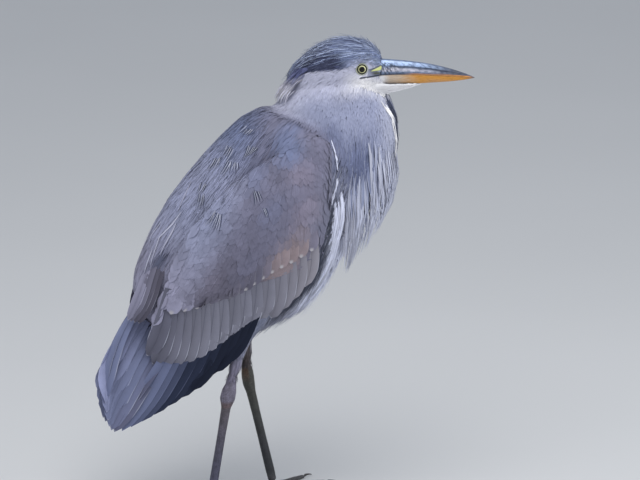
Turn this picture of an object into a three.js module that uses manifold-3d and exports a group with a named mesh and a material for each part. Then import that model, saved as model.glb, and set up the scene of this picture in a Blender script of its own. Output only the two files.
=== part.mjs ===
// A grey heron in its first year, life size, standing hunched with its neck drawn in.
// Millimetres, +Z up. The bird faces +X and its left side is +Y.
import * as THREE from "three";
import { LoftGeometry } from "three/addons/geometries/LoftGeometry.js";
import { mergeVertices } from "three/addons/utils/BufferGeometryUtils.js";
import Module from "manifold-3d";

const wasm = await Module();
wasm.setup();

const { Vector3 } = THREE;
const degrees = THREE.MathUtils.degToRad;

// ---- driving dimensions ----------------------------------------------------------------------

const GAP = 0.3; // clearance between neighbouring pieces
const FAN_CLEARANCE = 0.8; // clearance between a leg and the wing that hangs over it

// The body leans on a straight axis that falls towards the tail.
const BODY_PITCH = degrees(57);
const BODY_CENTRE = new Vector3(-4, 0, 439);
const ALONG = new Vector3(-Math.cos(BODY_PITCH), 0, -Math.sin(BODY_PITCH));
const DORSAL = new Vector3(-Math.sin(BODY_PITCH), 0, Math.cos(BODY_PITCH));

// Outline of the closed bird over distance along the axis: back edge, belly edge and half width.
const BACK_EDGE = through([
  [-110, 56],
  [-80, 82],
  [-45, 99],
  [0, 112],
  [50, 121],
  [100, 126],
  [150, 124],
  [200, 116],
  [232, 108],
  [264, 95],
  [317, 80],
  [353, 62],
  [397, 36],
  [415, 14],
]);
const BELLY_EDGE = through([
  [-110, -96],
  [-45, -112],
  [0, -117],
  [60, -119],
  [114, -119],
  [144, -113],
  [182, -92],
  [227, -78],
  [280, -58],
  [344, -30],
  [387, -8],
  [415, 8],
]);
const HALF_WIDTH = through([
  [-110, 44],
  [-60, 70],
  [0, 83],
  [50, 87],
  [100, 85],
  [150, 77],
  [200, 63],
  [250, 49],
  [300, 37],
  [350, 27],
  [415, 14],
]);

const TRUNK_START = -104;
const TRUNK_END = 262;
const TRUNK_INSET = 16; // the folded wing lies this deep on the flank

// The head's own frame sits at the eyes and turns a little to the right.
const HEAD_PLACE = new Vector3(99, -5, 592);
const HEAD_TURN = degrees(-10);

const BILL_TIP = 152;
const BILL_ROOT = 12;
const CULMEN = through([
  [8, 12],
  [31, 10],
  [66, 6.4],
  [97, 1.2],
  [124, -6.2],
  [145, -14],
  [152, -17.2],
]);
const GAPE_LINE = through([
  [-4, -13.2],
  [28, -10.6],
  [63, -10.4],
  [97, -12.6],
  [130, -15.4],
  [152, -17.8],
]);
const GONYS = through([
  [-4, -19],
  [31, -22.5],
  [63, -24.2],
  [97, -23.4],
  [124, -21.8],
  [145, -19.2],
  [152, -18],
]);
const BILL_HALF_WIDTH = through([
  [-4, 10.5],
  [31, 9.6],
  [66, 7.2],
  [97, 5],
  [124, 3.2],
  [145, 1.4],
  [152, 0.6],
]);

const EYE_RADIUS = 8;
const EYE_OUT = 10.6; // centre of the eyeball from the middle of the head
const EYE_LIFT = -0.2;

// Legs: hip, hock and ankle, with the left leg set forward.
const LEG_SPREAD = 32;
const LEGS = {
  right: {
    side: -1,
    hip: [-33, 294],
    knee: [-68, 238],
    bare: [-84, 184],
    hock: [-91, 156],
    hockRadius: 11.2,
    ankle: [-116, 9],
  },
  left: {
    side: 1,
    hip: [-23, 297],
    knee: [-49, 241],
    bare: [-51, 184],
    hock: [-48, 156],
    hockRadius: 8.6,
    ankle: [-14, 9],
  },
};
const SHANK_RADIUS = 6;

// Toes: heading from straight ahead, length to the claw, and radius at the root.
const TOES = [
  { name: "outer", heading: degrees(34), length: 66, radius: 4.2 },
  { name: "middle", heading: degrees(3), length: 80, radius: 4.4 },
  { name: "inner", heading: degrees(-30), length: 62, radius: 4.2 },
  { name: "hind", heading: degrees(176), length: 42, radius: 4 },
];
const PAD_RADIUS = 7; // the ball where the toes meet
const PAD_HEIGHT = 4.4;
const PAD_FLATNESS = 0.8;
const CLAW_LENGTH = 13;
const CLAW_RADIUS = 2.3;

// ---- shape helpers ---------------------------------------------------------------------------

/** A smooth function of position through [position, value] stops. */
function through(stops) {
  const positions = stops.map(([position]) => position);
  const values = stops.map(([, value]) => value);
  const curve = new THREE.CubicInterpolant(positions, values, 1);
  return (position) => curve.evaluate(position)[0];
}

function mix(from, to, share) {
  return from + (to - from) * share;
}

/** The greater of two values, rounded off where they cross. */
function softMax(a, b) {
  return (a + b + Math.hypot(a - b, CROSSING_ROUND)) / 2;
}

/** Rises from nearly nothing at both ends of 0..1 to one, as a round cap does. */
function dome(t, startShare, endShare) {
  const start = Math.min(1, t / startShare);
  const end = Math.min(1, (1 - t) / endShare);
  const rise = (share) => Math.sqrt(Math.max(0, 1 - (1 - share) ** 2));
  return Math.max(0.04, rise(start) * rise(end));
}

/** A manifold solid from a closed three.js geometry. */
function solidOf(geometry) {
  const bare = new THREE.BufferGeometry();
  bare.setAttribute("position", geometry.getAttribute("position"));
  bare.setIndex(geometry.index);
  const merged = mergeVertices(bare, 1e-4);
  const vertProperties = merged.attributes.position.array;
  const triVerts = new Uint32Array(merged.index.array);
  return new wasm.Manifold(new wasm.Mesh({ numProp: 3, vertProperties, triVerts }));
}

/** A closed loft whose surface point is pointAt(t, angle); rings crowd towards both ends. */
function lofted(steps, sides, pointAt) {
  const sections = [];
  for (let i = 0; i <= steps; i++) {
    const t = (1 - Math.cos((Math.PI * i) / steps)) / 2;
    const ring = [];
    for (let j = 0; j < sides; j++) {
      ring.push(pointAt(t, (2 * Math.PI * j) / sides));
    }
    sections.push(ring);
  }
  return solidOf(new LoftGeometry(sections, { capStart: true, capEnd: true }));
}

/** A limb along a path: oval sections with separate front and back depths. */
function limb({ path, width, front, back = front, steps, sides, ends = [0.12, 0.12], grow = 0 }) {
  return lofted(steps, sides, (t, angle) => {
    const centre = path.getPoint(t);
    const heading = path.getTangent(t);
    const ahead = new Vector3().crossVectors(heading, new Vector3(0, 1, 0)).normalize();
    const across = new Vector3().crossVectors(ahead, heading);
    const round = dome(t, ...ends);
    const depth = Math.sin(angle) > 0 ? front(t) : back(t);
    return centre
      .addScaledVector(across, Math.cos(angle) * (width(t) * round + grow))
      .addScaledVector(ahead, Math.sin(angle) * (depth * round + grow));
  });
}

/** A long feather: a thin vane along a path from root to tip, flat to the outward direction. */
function feather({ path, outward, halfWidth, halfThick, grow = 0 }) {
  return lofted(FEATHER_STEPS, FEATHER_SIDES, (t, angle) => {
    const heading = path.getTangent(t);
    const across = new Vector3().crossVectors(outward, heading).normalize();
    const face = new Vector3().crossVectors(heading, across);
    const vane = halfWidth * mix(0.55, 1, Math.min(1, t * 2)) * dome(t, 0.1, 0.3);
    const thick = halfThick * mix(1.4, 0.7, t);
    return path
      .getPoint(t)
      .addScaledVector(across, Math.cos(angle) * (vane + grow))
      .addScaledVector(face, Math.sin(angle) * (thick + grow));
  });
}
const FEATHER_STEPS = 4;
const FEATHER_SIDES = 4;

/**
 * A row of overlapping feathers as one thin sheet whose free edge has a lobe per feather.
 * place(share, reach, lift) gives the point at a share of the row and of the feathers' length.
 */
function featherSheet({ count, notch, thick, place, steps = SHEET_STEPS, grow = 0 }) {
  const margin = grow / SHEET_MARGIN;
  const sections = [];
  for (let k = 0; k <= 2 * count; k++) {
    const share = mix(-margin, 1 + margin, k / (2 * count));
    const length = k % 2 ? 1 + margin : 1 + margin - notch;
    const outer = [];
    const inner = [];
    for (const step of steps) {
      const reach = mix(-margin, length, step);
      const half = mix(...thick, step) / 2 + grow;
      inner.push(place(share, reach, -half));
      outer.unshift(place(share, reach, half));
    }
    sections.push([...inner, ...outer]);
  }
  return solidOf(new LoftGeometry(sections, { capStart: true, capEnd: true }));
}
const SHEET_STEPS = [0, 0.4, 0.75, 1];
const SHEET_MARGIN = 100; // a length a little under the smallest sheet's, to grow its edges by

function joined(solids) {
  return solids.reduce((all, one) => all.add(one));
}

function pathOf(points) {
  return new THREE.CatmullRomCurve3(points.map((point) => new Vector3(...point)));
}

// ---- body ------------------------------------------------------------------------------------

/** A point by its distance along the axis, height towards the back, and distance to the left. */
function bodyPoint(along, dorsal, left) {
  return BODY_CENTRE.clone()
    .addScaledVector(ALONG, along)
    .addScaledVector(DORSAL, dorsal)
    .add(new Vector3(0, left, 0));
}

/** Where a place on the flank lies between belly (-1) and back (1). */
function flankShare(along, dorsal) {
  const middle = (BACK_EDGE(along) + BELLY_EDGE(along)) / 2;
  const half = (BACK_EDGE(along) - BELLY_EDGE(along)) / 2 + 4;
  return THREE.MathUtils.clamp((dorsal - middle) / half, -1, 1);
}

/** Half width of the closed bird at a place on its flank. */
function flank(along, dorsal) {
  return HALF_WIDTH(along) * Math.sqrt(1 - Math.abs(flankShare(along, dorsal)) ** 2.3);
}

function trunk(grow = 0) {
  const backInset = through([
    [-110, 0],
    [60, 0],
    [150, 0.5],
    [220, 2.5],
    [270, 8],
  ]);
  const sideInset = through([
    [-110, 2],
    [-60, 7],
    [0, TRUNK_INSET],
    [180, TRUNK_INSET],
    [270, 18],
  ]);
  const bellyInset = through([
    [-110, 0],
    [150, 0],
    [190, 10],
    [270, 24],
  ]);
  return lofted(15, 16, (t, angle) => {
    const along = mix(TRUNK_START, TRUNK_END, t);
    const round = dome(t, 0.14, 0.14);
    const back = BACK_EDGE(along) - backInset(along);
    const belly = BELLY_EDGE(along) + bellyInset(along);
    const middle = (back + belly) / 2;
    const half = ((back - belly) / 2) * round + grow;
    const wide = (HALF_WIDTH(along) - sideInset(along)) * round + grow;
    return bodyPoint(along, middle - Math.sin(angle) * half, Math.cos(angle) * wide);
  });
}

// ---- neck ------------------------------------------------------------------------------------

// The drawn-in neck from the throat to the breast, and the planes that part it.
const NECK_PATH = pathOf([
  [52, 4, 594],
  [60, 3, 560],
  [68, 1, 520],
  [72, 0, 480],
  [66, 0, 430],
  [44, 0, 376],
]);
const NECK_FRONT = through([
  [0, 40],
  [0.12, 44],
  [0.2, 60],
  [0.3, 75],
  [0.42, 82],
  [0.56, 80],
  [0.76, 71],
  [1, 48],
]);
const NECK_BACK = through([
  [0, 40],
  [0.14, 66],
  [0.24, 89],
  [0.36, 85],
  [0.55, 70],
  [1, 60],
]);
const NECK_WIDTH = through([
  [0, 26],
  [0.16, 33],
  [0.36, 40],
  [0.55, 50],
  [0.75, 57],
  [1, 46],
]);
const NECK_CUTS = [0.27, 0.54]; // where the upper length ends and the lower one starts

function wholeNeck(grow = 0) {
  return limb({
    path: NECK_PATH,
    width: NECK_WIDTH,
    front: NECK_FRONT,
    back: NECK_BACK,
    steps: 13,
    sides: 13,
    ends: [0.22, 0.3],
    grow,
  });
}

/** The neck between two shares of its length. */
function neckLength(from, to) {
  let length = wholeNeck();
  if (from > 0) {
    length = trimmed(length, from, 1);
  }
  if (to < 1) {
    length = trimmed(length, to, -1);
  }
  return length;
}

/** Keeps the neck on one side of the plane across its path: side 1 keeps what comes after. */
function trimmed(solid, share, side) {
  const normal = NECK_PATH.getTangent(share).multiplyScalar(side);
  const place = NECK_PATH.getPoint(share).dot(normal) + GAP / 2;
  return solid.trimByPlane(normal.toArray(), place);
}

// ---- head and bill, in the head's own frame --------------------------------------------------

const CROWN = through([
  [-104, -24],
  [-92, -3],
  [-75, 16],
  [-55, 31],
  [-28, 40],
  [0, 38],
  [20, 27],
  [34, 11],
]);
const THROAT = through([
  [-104, -40],
  [-90, -46],
  [-60, -56],
  [-30, -56],
  [0, -47],
  [22, -39],
  [34, -30],
]);
const HEAD_HALF_WIDTH = through([
  [-104, 10],
  [-88, 19],
  [-60, 27],
  [-30, 26.5],
  [0, 19.5],
  [20, 13.6],
  [34, 10.4],
]);
const HEAD_BACK = -103;
const HEAD_FRONT = 33;

function skull(grow = 0) {
  return lofted(12, 14, (t, angle) => {
    const x = mix(HEAD_BACK, HEAD_FRONT, t);
    const round = dome(t, 0.16, 0.07);
    const middle = (CROWN(x) + THROAT(x)) / 2;
    const half = ((CROWN(x) - THROAT(x)) / 2) * round + grow;
    const wide = HEAD_HALF_WIDTH(x) * round + grow;
    return new Vector3(x, Math.cos(angle) * wide, middle + Math.sin(angle) * half);
  });
}

/** The white chin feathering that runs out under the lower mandible to a point. */
function chin(grow = 0) {
  const bottom = through([
    [0, -44],
    [22, -38.6],
    [47, -35],
    [63, -31],
    [81, -24.6],
  ]);
  return lofted(6, 8, (t, angle) => {
    const x = mix(0, 81, t);
    const top = GONYS(x) - 0.4;
    const middle = (top + bottom(x)) / 2;
    const half = Math.max(0.5, (top - bottom(x)) / 2) + grow;
    const wide = BILL_HALF_WIDTH(x) * mix(1.1, 0.5, t) + grow;
    return new Vector3(x, Math.cos(angle) * wide, middle + Math.sin(angle) * half);
  });
}

/** One mandible between an outer edge and the gape line. */
function mandible(outer, start, side, grow = 0) {
  return lofted(10, 10, (t, angle) => {
    const x = mix(start, BILL_TIP, t);
    const inner = GAPE_LINE(x) + (side * GAP) / 2;
    const height = Math.max(0.5, Math.abs(outer(x) - inner)) + grow;
    const rise = Math.sin(angle) * side;
    const z = rise > 0 ? inner + side * height * rise ** 0.8 : inner - side * grow;
    const narrow = rise > 0 ? 1 - 0.1 * rise : 1;
    const wide = BILL_HALF_WIDTH(x) * narrow + grow;
    return new Vector3(x, Math.cos(angle) * wide, z);
  });
}

const upperMandible = (grow) => mandible(CULMEN, BILL_ROOT, 1, grow);
const lowerMandible = (grow) => mandible(GONYS, BILL_ROOT, -1, grow);

function eyeball(side, grow = 0) {
  const ball = new THREE.SphereGeometry(EYE_RADIUS + grow, 10, 7);
  ball.translate(0, side * EYE_OUT, EYE_LIFT);
  return solidOf(ball);
}

/** Feathers of the rear crown that stand off over the nape. */
function crest(grow = 0) {
  const tips = [-9, 0, 9];
  return joined(
    tips.map((offset, index) =>
      feather({
        path: pathOf([
          [-66, offset * 0.9, 20],
          [-85, offset * 1.1, 9],
          [-103 - 4 * (index % 2), offset * 1.2, -10 - Math.abs(offset) * 0.7],
        ]),
        outward: new Vector3(-0.5, 0, 0.86),
        halfWidth: 6,
        halfThick: 2.2,
        grow,
      }),
    ),
  );
}

// ---- breast plumes ---------------------------------------------------------------------------

const PLUMES = 12;
const PLUME_TURN = degrees(104); // how far round the breast the outermost plumes hang

function breastPlumes(grow = 0) {
  const place = (share, reach, lift) => {
    const turn = mix(PLUME_TURN, -PLUME_TURN, share);
    const [front, side] = [Math.cos(turn), Math.sin(turn)];
    const bulge = 4 * reach * (1 - reach);
    const hollow = mix(0, 12, reach ** 2);
    const fore = Math.max(0, front);
    const height = mix(mix(446, 486, fore), mix(320, 394, fore), reach);
    const ahead = 80 + (64 - hollow + 4 * bulge + lift) * front;
    return new Vector3(ahead, (52 - hollow / 3 + 3 * bulge + lift) * side, height);
  };
  return featherSheet({ count: PLUMES, notch: 0.26, thick: [5, 7], place, grow });
}

// ---- wings, built for the right side ---------------------------------------------------------

const COVERT_START = -86;
const COVERT_END = 262;
const COVERT_TOP = through([
  [-86, 14],
  [-45, 50],
  [0, 76],
  [50, 93],
  [100, 101],
  [150, 97],
  [220, 76],
  [262, 66],
]);
const COVERT_EDGE = through([
  [-86, -4],
  [-54, -22],
  [-20, -44],
  [32, -68],
  [62, -76],
  [86, -62],
  [110, -36],
  [148, -8],
  [181, 16],
  [210, 38],
  [262, 60],
]);
const COVERT_DEPTH = 4; // the shell's middle lies this deep under the outline
const COVERT_THICK = 5;

/** The wing's arm with its coverts: a shell that thins towards all its edges. */
function wingArm(grow = 0) {
  return lofted(14, 12, (t, angle) => {
    const along = mix(COVERT_START, COVERT_END, t);
    const middle = (COVERT_TOP(along) + COVERT_EDGE(along)) / 2;
    const half = (COVERT_TOP(along) - COVERT_EDGE(along)) / 2 + grow;
    const dorsal = middle - half * Math.cos(angle);
    const thick = (COVERT_THICK + grow) * dome(t, 0.1, 0.25);
    const out = flank(along, dorsal) - COVERT_DEPTH + Math.sin(angle) * thick;
    return bodyPoint(along, dorsal, -out);
  });
}

/**
 * A row of the right wing's flight feathers on the flank. Their tips follow [along, dorsal] stops,
 * each lies a length from its root at a swing from the body's axis, sunk by a depth at both ends.
 */
function flightRow({ count, tips, lengths, swing, sunk, notch, least = [3, 3], steps, grow }) {
  const alongAt = rowCurve(tips.map(([along]) => along));
  const dorsalAt = rowCurve(tips.map(([, dorsal]) => dorsal));
  const place = (share, reach, lift) => {
    const back = mix(...lengths, share) * (1 - reach);
    const turn = mix(...swing, THREE.MathUtils.clamp(share, 0, 1));
    const along = alongAt(share) - back * Math.cos(turn);
    const dorsal = dorsalAt(share) - back * Math.sin(turn);
    const rise = 0.85 * flankShare(along, dorsal);
    const outward = DORSAL.clone().multiplyScalar(rise).setY(-Math.sqrt(1 - rise * rise));
    const out = softMax(mix(...least, share), flank(along, dorsal) - mix(...sunk, reach ** 2));
    return bodyPoint(along, dorsal, -out).addScaledVector(outward, lift);
  };
  return featherSheet({ count, notch, thick: VANE_THICK, place, steps, grow });
}
const VANE_THICK = [1.6, 1];
const CROSSING_ROUND = 6; // how far a fan's leaving of the flank is rounded

/** A smooth function of a row's share through even stops, carried straight on past both ends. */
function rowCurve(values) {
  const curve = through(values.map((value, i) => [i / (values.length - 1), value]));
  const span = values[values.length - 1] - values[0];
  return (share) => {
    const inside = THREE.MathUtils.clamp(share, 0, 1);
    return curve(inside) + (share - inside) * span;
  };
}

const SECONDARY_ROW = {
  count: 14,
  tips: [
    [90, -90],
    [132, -79],
    [180, -63],
    [229, -41],
    [274, -13],
    [297, 20],
    [289, 48],
  ],
  lengths: [120, 134],
  swing: [degrees(-29), degrees(2)],
  sunk: [11.6, 5],
  notch: 0.045,
};
const PRIMARY_ROW = {
  count: 7,
  tips: [
    [222, -64],
    [272, -45],
    [311, -31],
    [348, -15],
    [380, 4],
    [402, 20],
  ],
  lengths: [120, 200],
  swing: [degrees(-16), degrees(-7)],
  sunk: [14, 8],
  notch: 0.02,
  least: [43, 7], // the fan hangs outside the thigh and closes in towards the tail
  steps: [0, 0.35, 0.6, 0.8, 1],
};
const TERTIAL_ROW = {
  count: 4,
  tips: [
    [280, 58],
    [270, 77],
    [261, 94],
  ],
  lengths: [110, 128],
  swing: [degrees(4), degrees(-8)],
  sunk: [-1.5, 2],
  notch: 0.1,
};

const secondaries = (grow) => flightRow({ ...SECONDARY_ROW, grow });
const primaries = (grow) => flightRow({ ...PRIMARY_ROW, grow });
const tertials = (grow) => flightRow({ ...TERTIAL_ROW, grow });

// ---- tail ------------------------------------------------------------------------------------

const TAIL_FEATHERS = 10;

/** The closed tail: a ridge along the back whose outer feathers fold down on both sides. */
function tail(grow = 0) {
  const place = (share, reach, lift) => {
    const side = 2 * share - 1;
    const aside = Math.min(1, Math.abs(side));
    const along = mix(226, mix(376, 412, aside), reach);
    const arch = 4 * reach * (1 - reach) * mix(18, 8, aside);
    const dorsal = mix(mix(82, 42, aside), mix(54, 16, aside), reach) + arch;
    const outward = DORSAL.clone().multiplyScalar(1.1 - aside).setY(side).normalize();
    return bodyPoint(along, dorsal, side * mix(10, 24, reach)).addScaledVector(outward, lift);
  };
  return featherSheet({ count: TAIL_FEATHERS, notch: 0.07, thick: [3, 1.6], place, grow });
}

// ---- legs ------------------------------------------------------------------------------------

function legPoint(leg, [x, z]) {
  return [x, leg.side * LEG_SPREAD, z];
}

/** The feathered thigh, from inside the flank down to where the scales begin. */
function thigh(leg, grow = 0) {
  const radius = through([
    [0, 26],
    [0.25, 18],
    [0.5, 11.5],
    [0.75, 8.4],
    [1, 7.4],
  ]);
  return limb({
    path: pathOf([legPoint(leg, leg.hip), legPoint(leg, leg.knee), legPoint(leg, leg.bare)]),
    width: (t) => radius(t) * 0.86,
    front: radius,
    steps: 6,
    sides: 8,
    ends: [0.2, 0.03],
    grow,
  });
}

/** The scaly leg from below the thigh, over the swollen hock, to the ankle. */
function shank(leg, grow = 0) {
  const hock = legPoint(leg, leg.hock);
  const path = new THREE.CurvePath();
  path.add(lineOf(legPoint(leg, leg.bare), hock));
  path.add(lineOf(hock, legPoint(leg, leg.ankle)));
  const shares = [0, 0.08, 0.164, 0.25, 0.5, 0.75, 1];
  const smooth = new THREE.CatmullRomCurve3(shares.map((t) => path.getPoint(t)));
  const radius = through([
    [0, 7],
    [1 / 6, 8.2],
    [2 / 6, leg.hockRadius],
    [3 / 6, 6.5],
    [4 / 6, 5.8],
    [5 / 6, SHANK_RADIUS],
    [1, 6.4],
  ]);
  return limb({
    path: smooth,
    width: (t) => radius(t) * 0.84,
    front: radius,
    steps: 12,
    sides: 8,
    ends: [0.03, 0.03],
    grow,
  });
}

function lineOf(from, to) {
  return new THREE.LineCurve3(new Vector3(...from), new Vector3(...to));
}

/** Where a toe ends and its claw begins, with the toe's heading. */
function toeEnd(leg, toe) {
  const heading = toe.heading * leg.side;
  const ankle = new Vector3(...legPoint(leg, leg.ankle));
  const ahead = new Vector3(Math.cos(heading), Math.sin(heading), 0);
  return { ankle, ahead, end: ankle.clone().addScaledVector(ahead, toe.length) };
}

/** A toe that lies on the floor: its underside is pressed flat at height zero. */
function toeSolid(leg, toe, grow = 0) {
  const { ankle, ahead, end } = toeEnd(leg, toe);
  const across = new Vector3(-ahead.y, ahead.x, 0);
  return lofted(5, 6, (t, angle) => {
    const centre = ankle.clone().lerp(end, t);
    const knuckle = 1 + 0.1 * Math.cos(t * 6 * Math.PI);
    const radius = toe.radius * mix(1, 0.66, t) * knuckle * dome(t, 0.04, 0.06) + grow;
    centre.z = Math.max(radius * 0.7, mix(7, toe.radius * 0.5, Math.min(1, t * 4)));
    const point = centre
      .addScaledVector(across, Math.cos(angle) * radius)
      .add(new Vector3(0, 0, Math.sin(angle) * radius * 1.1));
    point.z = Math.max(-grow, point.z);
    return point;
  });
}

function foot(leg, grow = 0) {
  const [x, y] = legPoint(leg, leg.ankle);
  const pad = new THREE.SphereGeometry(PAD_RADIUS + grow, 8, 5);
  pad.scale(1, 0.95, PAD_FLATNESS);
  pad.translate(x, y, PAD_HEIGHT);
  flatten(pad);
  return joined([solidOf(pad), ...TOES.map((toe) => toeSolid(leg, toe, grow))]);
}

/** Presses what lies under the floor up to it. */
function flatten(geometry) {
  const position = geometry.attributes.position;
  for (let i = 0; i < position.count; i++) {
    position.setZ(i, Math.max(0, position.getZ(i)));
  }
}

/** A claw that arches from the toe's end down to the floor. */
function claw(leg, toe) {
  const { ahead, end } = toeEnd(leg, toe);
  const start = end.clone().addScaledVector(ahead, -2).setZ(3.2);
  const crest = end.clone().addScaledVector(ahead, CLAW_LENGTH * 0.55).setZ(4.6);
  const tip = end.clone().addScaledVector(ahead, CLAW_LENGTH).setZ(0.7);
  const path = new THREE.QuadraticBezierCurve3(start, crest, tip);
  const across = new Vector3(-ahead.y, ahead.x, 0);
  return lofted(3, 5, (t, angle) => {
    const radius = CLAW_RADIUS * mix(1, 0.22, t);
    const up = new Vector3().crossVectors(path.getTangent(t), across);
    return path
      .getPoint(t)
      .addScaledVector(across, Math.cos(angle) * radius * 0.7)
      .addScaledVector(up, Math.sin(angle) * radius);
  });
}

// ---- assembly --------------------------------------------------------------------------------

/** The largest body of a solid, as a three.js geometry. */
function geometryOf(solid) {
  const bodies = solid.decompose();
  const main = bodies.reduce((best, body) => (body.volume() > best.volume() ? body : best));
  const mesh = main.getMesh();
  const stride = mesh.numProp;
  const points = new Float32Array(mesh.numVert * 3);
  for (let i = 0; i < mesh.numVert; i++) {
    points.set(mesh.vertProperties.subarray(i * stride, i * stride + 3), i * 3);
  }
  const geometry = new THREE.BufferGeometry();
  geometry.setAttribute("position", new THREE.BufferAttribute(points, 3));
  geometry.setIndex(new THREE.BufferAttribute(mesh.triVerts, 1));
  return geometry;
}

/** The same geometry on the other side of the bird. */
function mirrored(geometry) {
  const other = geometry.clone();
  other.scale(1, -1, 1);
  const index = other.index.array;
  for (let i = 0; i < index.length; i += 3) {
    [index[i + 1], index[i + 2]] = [index[i + 2], index[i + 1]];
  }
  return other;
}

function minus(solid, cutters) {
  return cutters.reduce((left, cutter) => left.subtract(cutter), solid);
}

function addMesh(group, name, geometry, [color, roughness]) {
  const material = new THREE.MeshStandardMaterial({ color, roughness, metalness: 0 });
  const mesh = new THREE.Mesh(geometry, material);
  mesh.name = name;
  group.add(mesh);
}

const LOOKS = {
  neck: ["#b3b0bf", 0.9],
  back: ["#7c8298", 0.9],
  coverts: ["#837f8e", 0.9],
  secondary: ["#75727f", 0.85],
  primary: ["#3f4459", 0.8],
  tail: ["#77788d", 0.85],
  crown: ["#6d7590", 0.9],
  nape: ["#3c4258", 0.85],
  plume: ["#c3c2cf", 0.9],
  billTop: ["#4f5f80", 0.4],
  billUnder: ["#d99a3c", 0.4],
  eye: ["#e8e06a", 0.1],
  leg: ["#6d6467", 0.6],
  claw: ["#3a3434", 0.5],
};

const heron = new THREE.Group();

// Moves a solid of the head's own frame into the bird's frame, to cut against the body.
const headMatrix = new THREE.Matrix4()
  .makeRotationZ(HEAD_TURN)
  .setPosition(HEAD_PLACE);
const inBody = (solid) => solid.transform(headMatrix.toArray());

const billCut = [upperMandible(GAP), lowerMandible(GAP)];
const eyeCut = [eyeball(-1, GAP), eyeball(1, GAP)];
const headSolid = minus(skull().add(chin()), [...billCut, ...eyeCut]);
const headGrown = inBody(skull(GAP).add(chin(GAP)));

const headGroup = new THREE.Group();
headGroup.position.copy(HEAD_PLACE);
headGroup.rotation.z = HEAD_TURN;
heron.add(headGroup);
addMesh(headGroup, "head", geometryOf(headSolid), LOOKS.crown);
addMesh(headGroup, "crest", geometryOf(minus(crest(), [skull(GAP)])), LOOKS.nape);
addMesh(headGroup, "bill_upper", geometryOf(upperMandible(0)), LOOKS.billTop);
addMesh(headGroup, "bill_lower", geometryOf(lowerMandible(0)), LOOKS.billUnder);
addMesh(headGroup, "eye_right", geometryOf(minus(eyeball(-1), billCut)), LOOKS.eye);
addMesh(headGroup, "eye_left", geometryOf(minus(eyeball(1), billCut)), LOOKS.eye);

const crestGrown = inBody(crest(GAP));
const neckCutters = [headGrown, crestGrown, ...billCut.map(inBody), ...eyeCut.map(inBody)];
addMesh(heron, "neck_upper", geometryOf(minus(neckLength(0, NECK_CUTS[0]), neckCutters)), LOOKS.neck);
addMesh(heron, "neck_middle", geometryOf(minus(neckLength(...NECK_CUTS), neckCutters)), LOOKS.neck);
addMesh(heron, "neck_lower", geometryOf(neckLength(NECK_CUTS[1], 1)), LOOKS.neck);

const neckGrown = wholeNeck(GAP);
const trunkSolid = minus(trunk(), [neckGrown, headGrown, crestGrown]);
addMesh(heron, "trunk", geometryOf(trunkSolid), LOOKS.back);
const bodyGrown = [trunk(GAP), neckGrown, headGrown];
addMesh(heron, "breast_plumes", geometryOf(minus(breastPlumes(), bodyGrown)), LOOKS.plume);

const wingLayers = [
  ["wing", wingArm, LOOKS.coverts],
  ["tertials", tertials, LOOKS.back],
  ["secondaries", secondaries, LOOKS.secondary],
  ["primaries", primaries, LOOKS.primary],
];
const wingGrown = [];
for (const [name, build, look] of wingLayers) {
  const geometry = geometryOf(minus(build(0), [...bodyGrown, ...wingGrown]));
  addMesh(heron, `${name}_right`, geometry, look);
  addMesh(heron, `${name}_left`, mirrored(geometry), look);
  wingGrown.push(build(GAP));
}

const onBothSides = (solids) => solids.flatMap((solid) => [solid, solid.mirror([0, 1, 0])]);
const bothWings = onBothSides(wingGrown);
addMesh(heron, "tail", geometryOf(minus(tail(), [trunk(GAP), ...bothWings])), LOOKS.tail);

const fans = onBothSides(wingLayers.map(([, build]) => build(FAN_CLEARANCE)));
for (const [side, leg] of Object.entries(LEGS)) {
  const inner = [trunk(GAP), tail(GAP), ...fans];
  addMesh(heron, `thigh_${side}`, geometryOf(minus(thigh(leg), inner)), LOOKS.neck);
  const shankCutters = [thigh(leg, GAP), foot(leg, GAP), ...fans];
  addMesh(heron, `leg_${side}`, geometryOf(minus(shank(leg), shankCutters)), LOOKS.leg);
  addMesh(heron, `foot_${side}`, geometryOf(foot(leg)), LOOKS.leg);
  for (const toe of TOES) {
    const toeClaw = minus(claw(leg, toe), [foot(leg, GAP)]);
    addMesh(heron, `claw_${toe.name}_${side}`, geometryOf(toeClaw), LOOKS.claw);
  }
}

// The origin lies on the floor under the middle of the bird's box.
const box = new THREE.Box3().setFromObject(heron, true);
heron.position.set(-(box.min.x + box.max.x) / 2, -(box.min.y + box.max.y) / 2, -box.min.z);

export default heron;
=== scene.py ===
# Looks of a life-size young grey heron: one skin, and every feather as a thin solid vane over it.
# Metres, +Z up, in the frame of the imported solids. The bird faces +X and its left side is +Y.
import math

import bpy
import numpy as np
from mathutils import Matrix, Vector
from mathutils.bvhtree import BVHTree
from mathutils.kdtree import KDTree


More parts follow.
